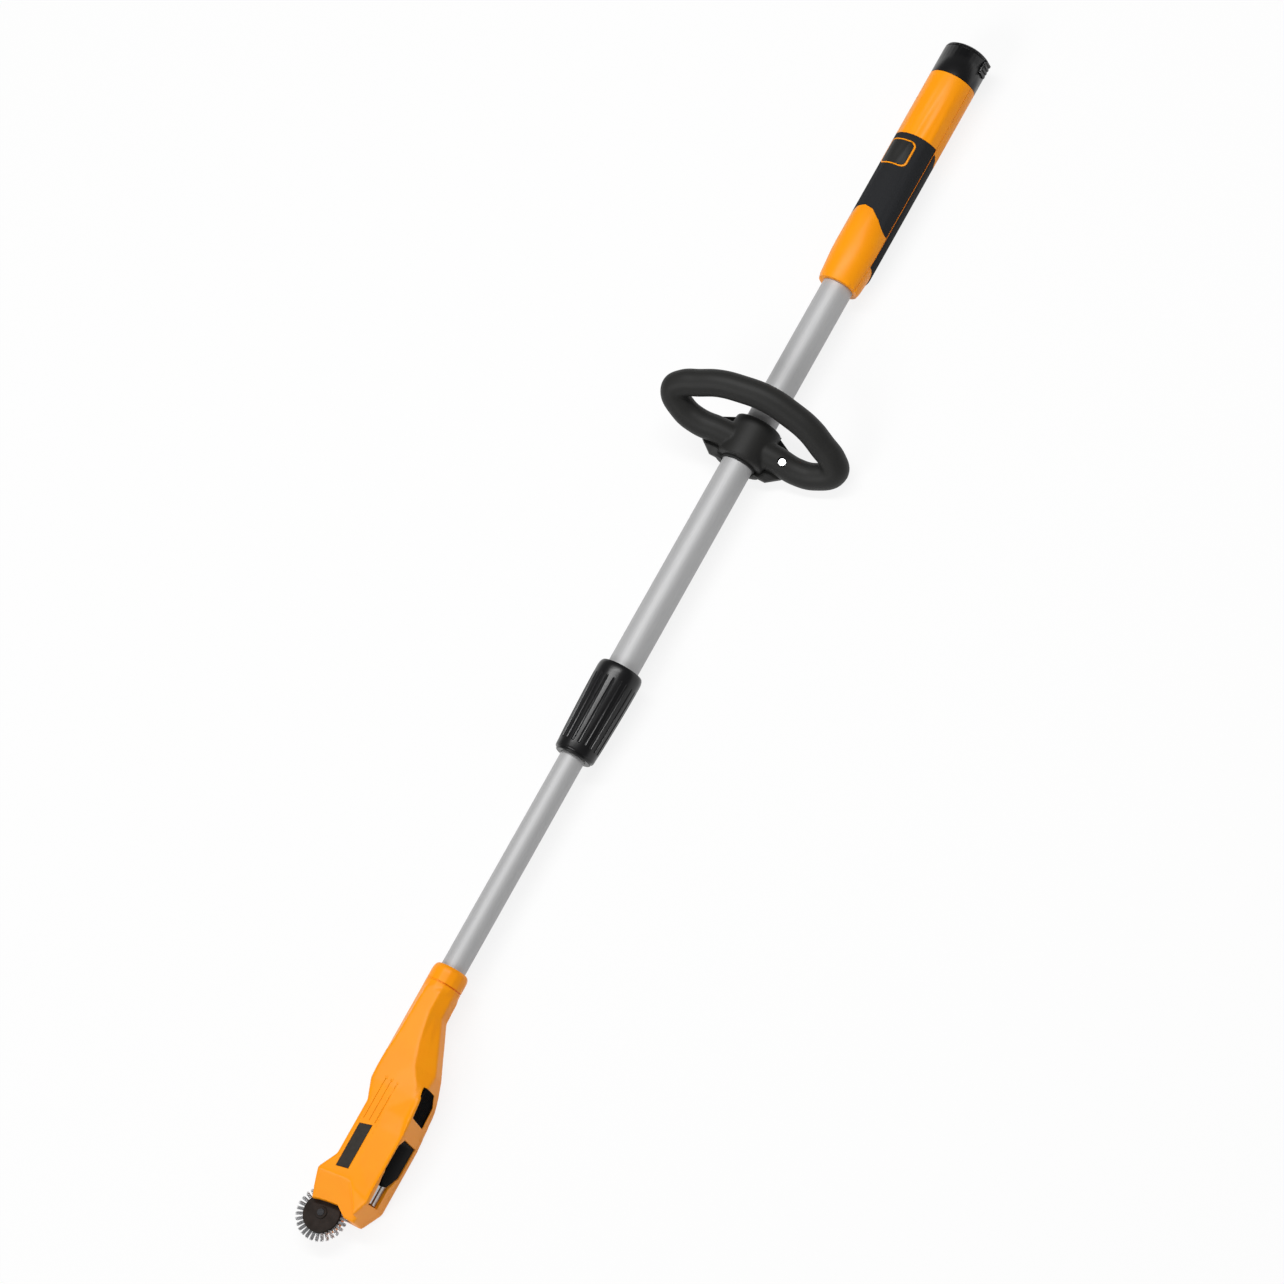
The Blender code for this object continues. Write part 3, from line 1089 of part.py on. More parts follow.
# Screws through the under shell
for n, gx in enumerate((0.0440, TERMINAL_X - 0.0090)):
    seat = rod("grip_screw_seat_%d" % (n + 1), 0.0030, 0.0020, (gx, 0, -GRIP_R - 0.0006), parent=grip,
               sides=20)
    hole = rod("grip_screw_hole_%d" % (n + 1), 0.0016, 0.0060, (gx, 0, -GRIP_R - 0.0010), parent=grip,
               sides=14)
    if n == 0:
        cut(bpy.data.objects["grip_shell_under"], hole)
        cut(bpy.data.objects["grip_pad_under"], seat)
        screw_part("grip_screw_1", (gx, 0, -GRIP_R + 0.0002), 0.0046, 0.0027, 0.0007, 0.0013, 'Z',
                   grip)
    else:
        cut(bpy.data.objects["grip_shell_under"], seat, hole)
        screw_part("grip_screw_2", (gx, 0, -GRIP_R + 0.0004), 0.0040, 0.0027, 0.0008, 0.0013, 'Z',
                   grip)

# Lie the tool on the floor with its outline centred over the origin
bpy.context.view_layer.update()
graph = bpy.context.evaluated_depsgraph_get()
low = Vector((1e9, 1e9, 1e9))
high = -low
for obj in parts.objects:
    if obj.type != 'MESH':
        continue
    shown = obj.evaluated_get(graph)
    for v in shown.data.vertices:
        p = obj.matrix_world @ v.co
        low = Vector(map(min, low, p))
        high = Vector(map(max, high, p))
tool.location = (-(low.x + high.x) / 2, -(low.y + high.y) / 2, -low.z)
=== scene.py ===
"""Cordless weed brush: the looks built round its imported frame, laid out as a Blender add-on.

Metres throughout. +X runs along the pole from the brush to the battery, +Z is up.
"""
import math

import bpy
from mathutils import Matrix, Vector


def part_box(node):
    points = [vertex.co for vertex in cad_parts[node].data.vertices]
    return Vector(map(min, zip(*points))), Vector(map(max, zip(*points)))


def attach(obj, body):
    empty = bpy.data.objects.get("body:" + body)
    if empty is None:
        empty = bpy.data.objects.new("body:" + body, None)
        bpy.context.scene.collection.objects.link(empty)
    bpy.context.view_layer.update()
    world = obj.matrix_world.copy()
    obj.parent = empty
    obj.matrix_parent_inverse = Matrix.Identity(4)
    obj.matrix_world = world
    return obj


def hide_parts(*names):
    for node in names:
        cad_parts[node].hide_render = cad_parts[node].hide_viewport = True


bl_info = {
    "name": "Cordless Weed Brush",
    "version": (1, 0, 0),
    "blender": (4, 5, 0),
    "location": "View3D > Sidebar > Weed Brush",
    "description": "Builds the visible pieces of a cordless weed brush round its frame",
    "category": "Object",
}

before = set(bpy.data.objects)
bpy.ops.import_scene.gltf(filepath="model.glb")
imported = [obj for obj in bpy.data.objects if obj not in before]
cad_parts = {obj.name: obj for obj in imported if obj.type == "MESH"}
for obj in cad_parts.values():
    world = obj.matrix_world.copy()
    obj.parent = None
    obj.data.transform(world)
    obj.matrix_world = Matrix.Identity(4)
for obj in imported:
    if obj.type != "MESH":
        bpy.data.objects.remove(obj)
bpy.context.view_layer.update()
MM = 0.001
MERGE = 0.000002


def low(node):
    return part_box(node)[0]


def high(node):
    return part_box(node)[1]


# Places read from the frame
AXIS_Y = (low("upper_tube").y + high("upper_tube").y) / 2
AXIS_Z = (low("upper_tube").z + high("upper_tube").z) / 2
AXIS = Vector((0, AXIS_Y, AXIS_Z))
SOCKET_X = high("head_body").x
COLLAR_X = low("twist_collar").x
GRIP_X = low("grip_shell_top").x
WHEEL = (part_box("brush_tufts")[0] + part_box("brush_tufts")[1]) / 2


def head_x(u):
    """Place along the pole, from a distance in millimetres below the socket's rim."""
    return SOCKET_X - u * MM


# Selecting and shaping
def ready():
    if bpy.context.mode != 'OBJECT':
        bpy.ops.object.mode_set(mode='OBJECT')
    bpy.ops.object.select_all(action='DESELECT')


def hold(obj):
    """Makes one object the only one selected."""
    ready()
    obj.select_set(True)
    bpy.context.view_layer.objects.active = obj
    return obj


def edit(obj):
    hold(obj)
    bpy.ops.object.mode_set(mode='EDIT')
    bpy.ops.mesh.select_all(action='SELECT')


def done():
    bpy.ops.object.mode_set(mode='OBJECT')
    return bpy.context.object


DIRECTION = {'X': Vector((1, 0, 0)), 'Y': Vector((0, 1, 0)), 'Z': Vector((0, 0, 1))}
FACING = {'X': (0, math.pi / 2, 0), 'Y': (-math.pi / 2, 0, 0), 'Z': (0, 0, 0)}


def turned(rings, at, axis='X', sides=96, hollow=False):
    """A disc extruded and scaled from ring to ring. A ring is (place along the axis, radius)."""
    ready()
    along = DIRECTION[axis]
    at = Vector(at)
    start, radius = rings[0]
    bpy.ops.mesh.primitive_circle_add(vertices=sides, radius=radius, rotation=FACING[axis],
                                      location=at + along * start,
                                      fill_type='NOTHING' if hollow else 'NGON')
    obj = bpy.context.object
    edit(obj)
    for (a, ra), (b, rb) in zip(rings, rings[1:]):
        bpy.ops.mesh.extrude_region_move(TRANSFORM_OT_translate={"value": along * (b - a)})
        if rb != ra:
            k = rb / ra
            bpy.ops.transform.resize(value=(k, k, k), center_override=at + along * b)
    bpy.ops.mesh.select_all(action='SELECT')
    bpy.ops.mesh.remove_doubles(threshold=MERGE)
    bpy.ops.mesh.normals_make_consistent(inside=False)
    return done()


def band(start, end, inner, outer, at, axis='X', sides=96):
    """A ring of square section, from a start to an end along its axis."""
    return turned([(start, inner), (start, outer), (end, outer), (end, inner), (start, inner)],
                  at, axis, sides, hollow=True)


def slab(outline, start, thick, axis='Z', at=(0, 0, 0)):
    """A flat outline extruded straight."""
    ready()
    bpy.ops.mesh.primitive_circle_add(vertices=len(outline), radius=0.01, fill_type='NGON')
    obj = bpy.context.object
    at = Vector(at)
    for vertex, (a, b) in zip(obj.data.vertices, outline):
        if axis == 'Z':
            vertex.co = Vector((a, b, start)) + at
        elif axis == 'Y':
            vertex.co = Vector((a, start, b)) + at
        else:
            vertex.co = Vector((start, a, b)) + at
    edit(obj)
    bpy.ops.mesh.extrude_region_move(TRANSFORM_OT_translate={"value": DIRECTION[axis] * thick})
    bpy.ops.mesh.select_all(action='SELECT')
    bpy.ops.mesh.normals_make_consistent(inside=False)
    return done()


def block(lowest, highest, bevel=0.0, segments=2):
    """A cube at its size and place, its edges rounded."""
    ready()
    lowest = Vector(lowest)
    highest = Vector(highest)
    bpy.ops.mesh.primitive_cube_add(size=1, location=(lowest + highest) / 2,
                                    scale=highest - lowest)
    obj = bpy.context.object
    bpy.ops.object.transform_apply(location=False, rotation=False, scale=True)
    if bevel > 0:
        edit(obj)
        bpy.ops.mesh.bevel(offset=bevel, segments=segments, affect='EDGES')
        done()
    return obj


def apply_modifiers(obj):
    hold(obj)
    for modifier in list(obj.modifiers):
        bpy.ops.object.modifier_apply(modifier=modifier.name)
    return obj


def carve(obj, *others, how='DIFFERENCE'):
    """Booleans with other objects, which are used up."""
    for other in others:
        modifier = obj.modifiers.new("Carve", 'BOOLEAN')
        modifier.operation = how
        modifier.solver = 'EXACT'
        modifier.object = other
        apply_modifiers(obj)
        bpy.data.objects.remove(other, do_unlink=True)
    return obj


def join(pieces):
    ready()
    for piece in pieces:
        piece.select_set(True)
    bpy.context.view_layer.objects.active = pieces[0]
    if len(pieces) > 1:
        bpy.ops.object.join()
    return bpy.context.object


def swing(obj, angle, axis='X', centre=None):
    """Turns an object's mesh about a point."""
    centre = AXIS if centre is None else Vector(centre)
    hold(obj)
    bpy.ops.object.transform_apply(location=True, rotation=True, scale=True)
    spin = (Matrix.Translation(centre) @ Matrix.Rotation(angle, 4, axis)
            @ Matrix.Translation(-centre))
    obj.data.transform(spin)
    return obj


def copy_of(obj):
    twin = obj.copy()
    twin.data = obj.data.copy()
    bpy.context.collection.objects.link(twin)
    return twin


def soften(obj, width, segments=2, angle=25.0):
    """Rounded edges, applied."""
    modifier = obj.modifiers.new("Soften", 'BEVEL')
    modifier.width = width
    modifier.segments = segments
    modifier.limit_method = 'ANGLE'
    modifier.angle_limit = math.radians(angle)
    modifier.use_clamp_overlap = True
    modifier.miter_outer = 'MITER_ARC'
    modifier.harden_normals = True
    return apply_modifiers(obj)


def refined(node, bevel=0.0, segments=2, angle=25.0, flat=0.1):
    """A merged copy of a CAD node, with its flat faces joined and its edges rounded."""
    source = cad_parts[node]
    obj = bpy.data.objects.new(node + "_form", source.data.copy())
    bpy.context.collection.objects.link(obj)
    edit(obj)
    bpy.ops.mesh.remove_doubles(threshold=MERGE)
    bpy.ops.mesh.normals_make_consistent(inside=False)
    if flat:
        bpy.ops.mesh.dissolve_limited(angle_limit=math.radians(flat))
    done()
    if bevel > 0:
        soften(obj, bevel, segments, angle)
    return obj


def settle(obj, name, body, finish, slot, *nodes, smooth=30.0):
    """Places a finished piece: unturned at the origin, shaded, on its body, for its nodes."""
    hold(obj)
    bpy.ops.object.transform_apply(location=True, rotation=True, scale=True)
    if smooth:
        bpy.ops.object.shade_smooth_by_angle(angle=math.radians(smooth))
    obj.name = name
    obj.data.name = name
    obj.data.materials.clear()
    obj.data.materials.append(finish)
    if nodes:
        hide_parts(*nodes)
    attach(obj, body)
    ready()
    return obj


# Materials
def colour(code):
    """An sRGB hex code as linear values."""
    out = []
    for i in (1, 3, 5):
        c = int(code[i:i + 2], 16) / 255
        out.append(c / 12.92 if c <= 0.04045 else ((c + 0.055) / 1.055) ** 2.4)
    return (*out, 1.0)


def add(tree, kind, links=None, values=None, **settings):
    """Adds a node with its settings, its values and what is linked to it."""
    node = tree.nodes.new(kind)
    for key, value in settings.items():
        setattr(node, key, value)
    for key, value in (values or {}).items():
        node.inputs[key].default_value = value
    for key, source in (links or {}).items():
        tree.links.new(source, node.inputs[key])
    return node


def shader(name, **values):
    material = bpy.data.materials.new(name)
    material.use_nodes = True
    tree = material.node_tree
    bsdf = tree.nodes["Principled BSDF"]
    for key, value in values.items():
        bsdf.inputs[key.replace("_", " ")].default_value = value
    return material, tree, bsdf


def tone(tree, factor, dark, pale, start=0.3, end=0.7):
    ramp = add(tree, "ShaderNodeValToRGB", {"Fac": factor})
    ramp.color_ramp.elements[0].position = start
    ramp.color_ramp.elements[0].color = colour(dark)
    ramp.color_ramp.elements[1].position = end
    ramp.color_ramp.elements[1].color = colour(pale)
    return ramp.outputs["Color"]


def spots(tree, scale, stretch=(1, 1, 1), detail=3.0, rough=0.5):
    """Noise over the object's own coordinates. Scale is in pattern cells a metre."""
    place = add(tree, "ShaderNodeTexCoord")
    sized = add(tree, "ShaderNodeMapping", {"Vector": place.outputs["Object"]},
                {"Scale": stretch})
    noise = add(tree, "ShaderNodeTexNoise", {"Vector": sized.outputs["Vector"]},
                {"Scale": scale, "Detail": detail, "Roughness": rough})
    return noise.outputs["Fac"]


def bumps(tree, bsdf, height, depth, strength=1.0):
    bump = add(tree, "ShaderNodeBump", {"Height": height},
               {"Distance": depth, "Strength": strength})
    tree.links.new(bump.outputs["Normal"], bsdf.inputs["Normal"])


def drawn_aluminium():
    """Drawn, brushed aluminium tube: fine lines along the pole and a broad soft highlight."""
    material, tree, bsdf = shader("drawn_aluminium", Metallic=0.3, Roughness=0.55,
                                  Specular_IOR_Level=0.3)
    lines = spots(tree, 4200, (0.01, 1, 1), 2.0)
    tree.links.new(tone(tree, lines, "#B7B7B8", "#BFBFBF", 0.35, 0.65), bsdf.inputs["Base Color"])
    bumps(tree, bsdf, lines, 0.00001, 0.3)
    return material


def orange_abs():
    """Injection-moulded ABS, half gloss: clean colour with a very fine spark texture."""
    material, tree, bsdf = shader("orange_abs", Roughness=0.38, Specular_IOR_Level=0.22)
    cloud = spots(tree, 60, detail=2.0)
    tree.links.new(tone(tree, cloud, "#FF9A04", "#FF9E07", 0.3, 0.7), bsdf.inputs["Base Color"])
    bumps(tree, bsdf, spots(tree, 3500, detail=2.0), 0.00003, 0.35)
    return material


def soft_tpe():
    """Soft overmoulded rubber: matte, with a fine pebble that breaks up the light."""
    material, tree, bsdf = shader("soft_tpe", Roughness=0.75, Specular_IOR_Level=0.1)
    grain = spots(tree, 2200, detail=3.0)
    tree.links.new(tone(tree, grain, "#242527", "#2C2D2F", 0.35, 0.65), bsdf.inputs["Base Color"])
    bumps(tree, bsdf, grain, 0.00008, 0.5)
    return material


def black_gloss():
    """Black ABS, half gloss over a nearly black base."""
    material, tree, bsdf = shader("black_gloss", Roughness=0.3, Specular_IOR_Level=0.42)
    cloud = spots(tree, 90, detail=2.0)
    tree.links.new(tone(tree, cloud, "#08080A", "#0D0D0F"), bsdf.inputs["Base Color"])
    bumps(tree, bsdf, spots(tree, 900, detail=1.0), 0.00003, 0.25)
    return material


def grained_nylon():
    """Glass-filled nylon, matte black-brown, with the faint grain of a blasted mould."""
    material, tree, bsdf = shader("grained_nylon", Roughness=0.55, Specular_IOR_Level=0.28)
    grain = spots(tree, 1600, detail=3.0)
    tree.links.new(tone(tree, grain, "#1E1E1D", "#262625"), bsdf.inputs["Base Color"])
    bumps(tree, bsdf, grain, 0.00006, 0.45)
    return material


def deep_black():
    """Black moulding of the key and the vent mesh: swallows the light, only a trace of sheen."""
    material, tree, bsdf = shader("deep_black", Roughness=0.5, Specular_IOR_Level=0.02)
    grain = spots(tree, 1800, detail=2.0)
    tree.links.new(tone(tree, grain, "#030303", "#070707"), bsdf.inputs["Base Color"])
    bumps(tree, bsdf, grain, 0.00004, 0.3)
    return material


def bright_zinc():
    """Zinc-plated steel, bright with a slightly cloudy plating."""
    material, tree, bsdf = shader("bright_zinc", Metallic=1.0, Roughness=0.3)
    cloud = spots(tree, 500, detail=3.0)
    tree.links.new(tone(tree, cloud, "#A9AAAC", "#C2C2C3"), bsdf.inputs["Base Color"])
    bumps(tree, bsdf, cloud, 0.00004, 0.3)
    return material


def black_oxide():
    """Blackened steel screw, low sheen."""
    material, tree, bsdf = shader("black_oxide", Metallic=0.7, Roughness=0.42)
    cloud = spots(tree, 700, detail=3.0)
    tree.links.new(tone(tree, cloud, "#2A2A2C", "#3A3A3C"), bsdf.inputs["Base Color"])
    return material


def spring_wire():
    """Hard-drawn steel wire: bright where lit, dark between the strands."""
    material, tree, bsdf = shader("spring_wire", Metallic=0.8, Roughness=0.33)
    streak = spots(tree, 1500, detail=2.0)
    tree.links.new(tone(tree, streak, "#A2A2A4", "#EDEDEE"), bsdf.inputs["Base Color"])
    return material


def smoked_hub_painted_shade():
    """Smoked polycarbonate, opaque here: dark brown-grey with hardly any sheen; the darkness and
    the brown are partly the smoke's own grey and partly painted shade and painted orange bounce
    from the hood.
    """
    material, tree, bsdf = shader("smoked_hub_painted_shade", Roughness=0.45, Specular_IOR_Level=0.04)
    cloud = spots(tree, 140, detail=3.0)
    # Painted shade and painted orange bounce: the smoke's grey is darkened and tinted brown, as the
    # disc looks in the hood's shadow
    tree.links.new(tone(tree, cloud, "#2A2522", "#36302D"), bsdf.inputs["Base Color"])
    bumps(tree, bsdf, spots(tree, 700, detail=2.0), 0.00004, 0.3)
    return material


def label_film():
    """Satin polyester film, bare, a little warmer than the black round it."""
    material, tree, bsdf = shader("label_film", Roughness=0.5, Specular_IOR_Level=0.2)
    cloud = spots(tree, 300, detail=2.0)
    tree.links.new(tone(tree, cloud, "#2B2722", "#332E29"), bsdf.inputs["Base Color"])
    bumps(tree, bsdf, spots(tree, 4000, detail=1.0), 0.00002, 0.3)
    return material


def natural_nylon():
    """Unfilled nylon gears and collet, cream and slightly waxy."""
    material, tree, bsdf = shader("natural_nylon", Roughness=0.45, IOR=1.53)
    cloud = spots(tree, 250, detail=2.0)
    tree.links.new(tone(tree, cloud, "#D6D0BC", "#E3DECD"), bsdf.inputs["Base Color"])
    return material


def moulded_rubber():
    """Plain black rubber, dull."""
    material, tree, bsdf = shader("moulded_rubber", Roughness=0.8)
    cloud = spots(tree, 600, detail=3.0)
    tree.links.new(tone(tree, cloud, "#1A1A1A", "#232323"), bsdf.inputs["Base Color"])
    bumps(tree, bsdf, cloud, 0.00008, 0.4)
    return material


def cell_sleeve():
    """Heat-shrunk blue sleeve of a cell."""
    material, tree, bsdf = shader("cell_sleeve", Roughness=0.35)
    cloud = spots(tree, 200, detail=2.0)
    tree.links.new(tone(tree, cloud, "#2C5E86", "#376B94"), bsdf.inputs["Base Color"])
    return material


FINISHES = {}


def finish(maker):
    """One material for each finish, made when it is first asked for."""
    if maker.__name__ not in FINISHES:
        FINISHES[maker.__name__] = maker()
    return FINISHES[maker.__name__]


def repaint(maker, *nodes):
    """Gives CAD nodes that stay a finish of their own."""
    for name in nodes:
        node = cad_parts[name]
        node.data.materials.clear()
        node.data.materials.append(finish(maker))


def length_value(name, description, default):
    return bpy.props.FloatProperty(name=name, description=description, default=default,
                                   subtype='DISTANCE')


def count_value(name, description, default, least, most):
    return bpy.props.IntProperty(name=name, description=description, default=default,
                                 min=least, max=most)


class WeedBrushSizes(bpy.types.PropertyGroup):
    flutes: count_value("Flutes", "Finger grooves round the twist collar", 20, 8, 40)
    flute_width: length_value("Flute width", "Width of one finger groove", 3.2 * MM)
    flute_depth: length_value("Flute depth", "Depth of one finger groove", 0.9 * MM)
    loop_bar: length_value("Loop bar radius", "Radius of the loop handle's bar", 12.0 * MM)
    wires: count_value("Wires a tuft", "Wires in each tuft of the brush", 44, 6, 80)
    tufts: count_value("Tufts", "Tufts round the brush wheel", 30, 12, 60)


def sizes():
    return bpy.context.scene.weed_brush_sizes


TUBES = (("lower_tube", "lower_pole", 1.4 * MM), ("upper_tube", "upper_pole", 1.3 * MM))
TUBE_EDGE = 0.3 * MM


class WEEDBRUSH_OT_tubes(bpy.types.Operator):
    """Adds the two pole tubes"""
    bl_idname = "weedbrush.tubes"
    bl_label = "Pole Tubes"

    def execute(self, context):
        for name, body, wall in TUBES:
            start, end = low(name).x, high(name).x
            radius = (high(name).z - low(name).z) / 2
            inner = radius - wall
            tube = turned([(start, inner), (start, radius - TUBE_EDGE),
                           (start + TUBE_EDGE, radius), (end - TUBE_EDGE, radius),
                           (end, radius - TUBE_EDGE), (end, inner), (start, inner)],
                          AXIS, 'X', 96, hollow=True)
            settle(tube, name + "_skin", body, finish(drawn_aluminium), "satin_aluminium", name)
        return {'FINISHED'}


# Collar profiles in millimetres: distance from its lower end, radius
COLLAR_OUTER = [(0.0, 15.9), (0.5, 16.4), (1.9, 16.5), (2.2, 16.6), (2.3, 17.6), (2.8, 17.95),
                (4.2, 18.2), (10, 18.45), (20, 18.95), (30, 19.3), (40, 19.65), (50, 19.95),
                (60, 20.2), (70, 20.38), (78, 20.45), (81, 20.4), (83.2, 20.1), (84.8, 19.6),
                (86, 18.9)]
COLLAR_INNER = [(86, 14.6), (52, 14.6), (51, 16.8), (3.0, 16.8), (2.8, 11.6), (0.0, 11.6),
                (0.0, 15.9)]
FLUTE_START = 11.0 * MM
FLUTE_L = 61 * MM
FLUTE_RISE = 2.25 * MM
FLUTE_FOOT_R = 18.5 * MM


class WEEDBRUSH_OT_collar(bpy.types.Operator):
    """Adds the twist collar with its finger grooves"""
    bl_idname = "weedbrush.collar"
    bl_label = "Twist Collar"

    def execute(self, context):
        s = sizes()
        rings = [(x * MM, r * MM) for x, r in COLLAR_OUTER + COLLAR_INNER]
        collar = turned(rings, (COLLAR_X, AXIS_Y, AXIS_Z), 'X', 200, hollow=True)
        half = s.flute_width / 2
        tool = (half * half + s.flute_depth * s.flute_depth) / (2 * s.flute_depth)
        ready()
        bpy.ops.mesh.primitive_uv_sphere_add(segments=20, ring_count=12, radius=tool,
                                             rotation=FACING['X'])
        groove = bpy.context.object
        bpy.ops.object.transform_apply(location=False, rotation=True, scale=False)
        for vertex in groove.data.vertices:
            if vertex.co.x > 0.01 * MM:
                vertex.co.x += FLUTE_L
                vertex.co.z += FLUTE_RISE
        lift = FLUTE_FOOT_R - s.flute_depth + tool
        groove.data.transform(Matrix.Translation((COLLAR_X + FLUTE_START, AXIS_Y,
                                                  AXIS_Z + lift)))
        grooves = [groove]
        for k in range(1, s.flutes):
            twin = copy_of(groove)
            swing(twin, math.tau * k / s.flutes)
            grooves.append(twin)
        carve(collar, join(grooves))
        settle(collar, "twist_collar_skin", "collar", finish(black_gloss), "gloss_black",
               "twist_collar", smooth=35)
        return {'FINISHED'}


# Head sections in millimetres: distance from the socket rim, left side, left strip half height,
# left crest, right side, right strip half height, right crest, half thickness, roundness
HEAD_SECTIONS = [
    (24.0, 14.9, 6.2, 6.6, -16.0, 6.8, -7.2, 16.3, 0.8),
    (42.0, 14.7, 6.6, 7.0, -16.4, 6.8, -7.6, 17.0, 0.5),
    (71.0, 14.5, 6.8, 7.3, -30.2, 7.2, -14.6, 18.5, 0.2),
    (87.0, 14.3, 7.5, 8.2, -37.8, 7.8, -20.8, 19.5, 0),
    (100.0, 13.1, 10.0, 7.8, -40.2, 14.0, -30.6, 21.0, 0),
    (112.0, 9.8, 16.0, 6.5, -41.2, 20.0, -35.8, 22.0, 0),
    (130.0, 0.8, 20.5, -0.8, -42.8, 20.2, -37.2, 22.0, 0),
    (146.0, 0.8, 20.5, -0.8, -44.0, 20.5, -42.5, 22.0, 0),
    (180.0, 0.8, 20.5, -0.8, -44.0, 20.5, -42.5, 22.0, 0),
    (196.0, 9.7, 20.5, 8.2, -44.0, 20.5, -42.5, 22.0, 0),
    (223.0, 8.6, 20.5, 7.1, -44.0, 20.5, -42.5, 22.0, 0),
]
HEAD_SOCKET = [(0.0, 13.6), (1.8, 15.3), (5.0, 16.2), (20.0, 16.2)]
# The grooves' places across the head, and their ends along it
GROOVES = (-5.4, -10.9, -16.8)
GROOVE_TOP = 107.0
GROOVE_FOOT = 145.0


def head_spot(u, y, z):
    """Place in the frame, from millimetres below the socket's rim and off the pole's axis."""
    return Vector((head_x(u), AXIS_Y + y * MM, AXIS_Z + z * MM))


# The right crest is lowered by CROWN, fully where the roof is past ROOF_START + ROOF_RUN
CROWN = 2.7
ROOF_START = 90
ROOF_RUN = 40
ROUND_PULL = 0.7


def head_row(u, left, left_z, left_crest, right, right_z, right_crest, top, roundness):
    """Sixteen points round the head, the eight corners blended towards an ellipse."""
    roof = min(max((u - ROOF_START) / ROOF_RUN, 0), 1)
    corners = [(right, right_z), (right_crest, top), (left_crest, top), (left, left_z),
               (left, -left_z), (left_crest, -top), (right_crest, -top), (right, -right_z)]
    row = []
    for k in range(16):
        y, z = corners[(k - 1) // 2]
        if k == 3:
            z -= CROWN * roof
        if k % 2 == 0:
            before, after = corners[(k // 2 - 1) % 8], corners[k // 2 % 8]
            turn = math.tau * k / 16
            y, z = (before[0] + after[0]) / 2, (before[1] + after[1]) / 2
            pull = roundness * ROUND_PULL
            y += ((left + right) / 2 - (left - right) / 2 * math.cos(turn) - y) * pull
            z += (top * math.sin(turn) - z) * pull
        row.append(head_spot(u, y, z))
    return row


def loft(rows):
    """A short prism extruded once for each further row, then fitted to the rows of points."""
    sides = len(rows[0])
    step = 1 * MM
    obj = turned([(k * step, 10 * MM) for k in range(len(rows))], (0, 0, 0), 'X', sides)
    hold(obj)
    bpy.ops.object.transform_apply(location=True, rotation=True, scale=True)
    for vertex in obj.data.vertices:
        ring = round(vertex.co.x / step)
        place = round(math.atan2(vertex.co.z, vertex.co.y) / math.tau * sides) % sides
        vertex.co = rows[ring][place]
    edit(obj)
    bpy.ops.mesh.normals_make_consistent(inside=False)
    return done()


def smoothed(obj, voxel, rounds, inset=0.0):
    """Edges melted to soft radii: remeshed, relaxed and, with an inset, drawn in a little."""
    remesh = obj.modifiers.new("Melt", 'REMESH')
    remesh.mode = 'VOXEL'
    remesh.voxel_size = voxel
    relax = obj.modifiers.new("Relax", 'SMOOTH')
    relax.factor = 0.5
    relax.iterations = rounds
    if inset:
        draw_in = obj.modifiers.new("Draw in", 'DISPLACE')
        draw_in.mid_level = 0.0
        draw_in.strength = -inset
    return apply_modifiers(obj)


# Cuts of the nose, in millimetres below the socket's rim and off the pole's axis
FRONT_NEAR = ((199.2, 22), (300, -55.6), (300, 60), (179.2, 60), (199.2, 24.1))
FRONT_FAR = ((194.5, 22), (300, -59.2), (300, 60), (174.5, 60), (194.5, 24.1))
RIGHT_CUT = ((196, 22), (213, 16), (300, -8), (300, 60), (196, 60))
CORNER_CUT = [(-204, -44.2), (-244, -44.2), (-244, -18), (-222, -34)]
RIDGE_Y = -22.5
RIDGE_U = 194.5
RIDGE_SLOPE = 0.55
NOSE = (-22 * MM, -9.8 * MM, 13.2 * MM)
NOSE_U = 227
NOSE_Y = -3.2 * MM
RING_FLOOR = 15.1 * MM
RING_ASIDE = 0.7 * MM
MELT_VOXEL = 0.9 * MM
MELT_ROUNDS = 16
MELT_INSET = 0.12 * MM


def head_form():
    """Outer form of the head, solid, its edges softened."""
    rows = [[head_spot(u, -r * math.cos(math.tau * k / 16), r * math.sin(math.tau * k / 16))
             for k in range(16)] for u, r in HEAD_SOCKET]
    form = loft(rows + [head_row(*section) for section in HEAD_SECTIONS])

    def ridge(outline, nudge=0):
        """The outline, each point on the slanting ridge between the front and the right cut."""
        return [head_spot(u, RIDGE_Y - (u - RIDGE_U) * RIDGE_SLOPE + nudge, z)
                for u, z in outline]

    front = loft([[head_spot(u, 30, z) for u, z in FRONT_NEAR], ridge(FRONT_FAR)])
    right = loft([ridge(RIGHT_CUT, 0.2), [head_spot(u, -100, z) for u, z in RIGHT_CUT]])
    corner = slab(CORNER_CUT, -30, 60, 'Z')
    corner.data.transform(Matrix.Translation(head_spot(0, 0, 0)) @ Matrix.Scale(MM, 4))
    carve(form, front, right, corner)
    nose_low, nose_high, nose_r = NOSE
    nose = turned([(nose_low, nose_r), (nose_high, nose_r)],
                  (head_x(NOSE_U), AXIS_Y + NOSE_Y, AXIS_Z), 'Z', 64)
    form = smoothed(join([form, nose]), MELT_VOXEL, MELT_ROUNDS, MELT_INSET)
    ring = band(-16.4 * MM, -15.2 * MM, RING_FLOOR, 20 * MM,
                (SOCKET_X, AXIS_Y + RING_ASIDE, AXIS_Z), 'X', 64)
    return carve(form, ring)


SCREW_BOSS = 4.4 * MM
HEAD_SCREWS = ("head_screw_1", "head_screw_2", "head_screw_3", "head_screw_4")
LINE_HALF = 0.22
PLUG_HALF = 0.9
DOT_R = 1.05 * MM


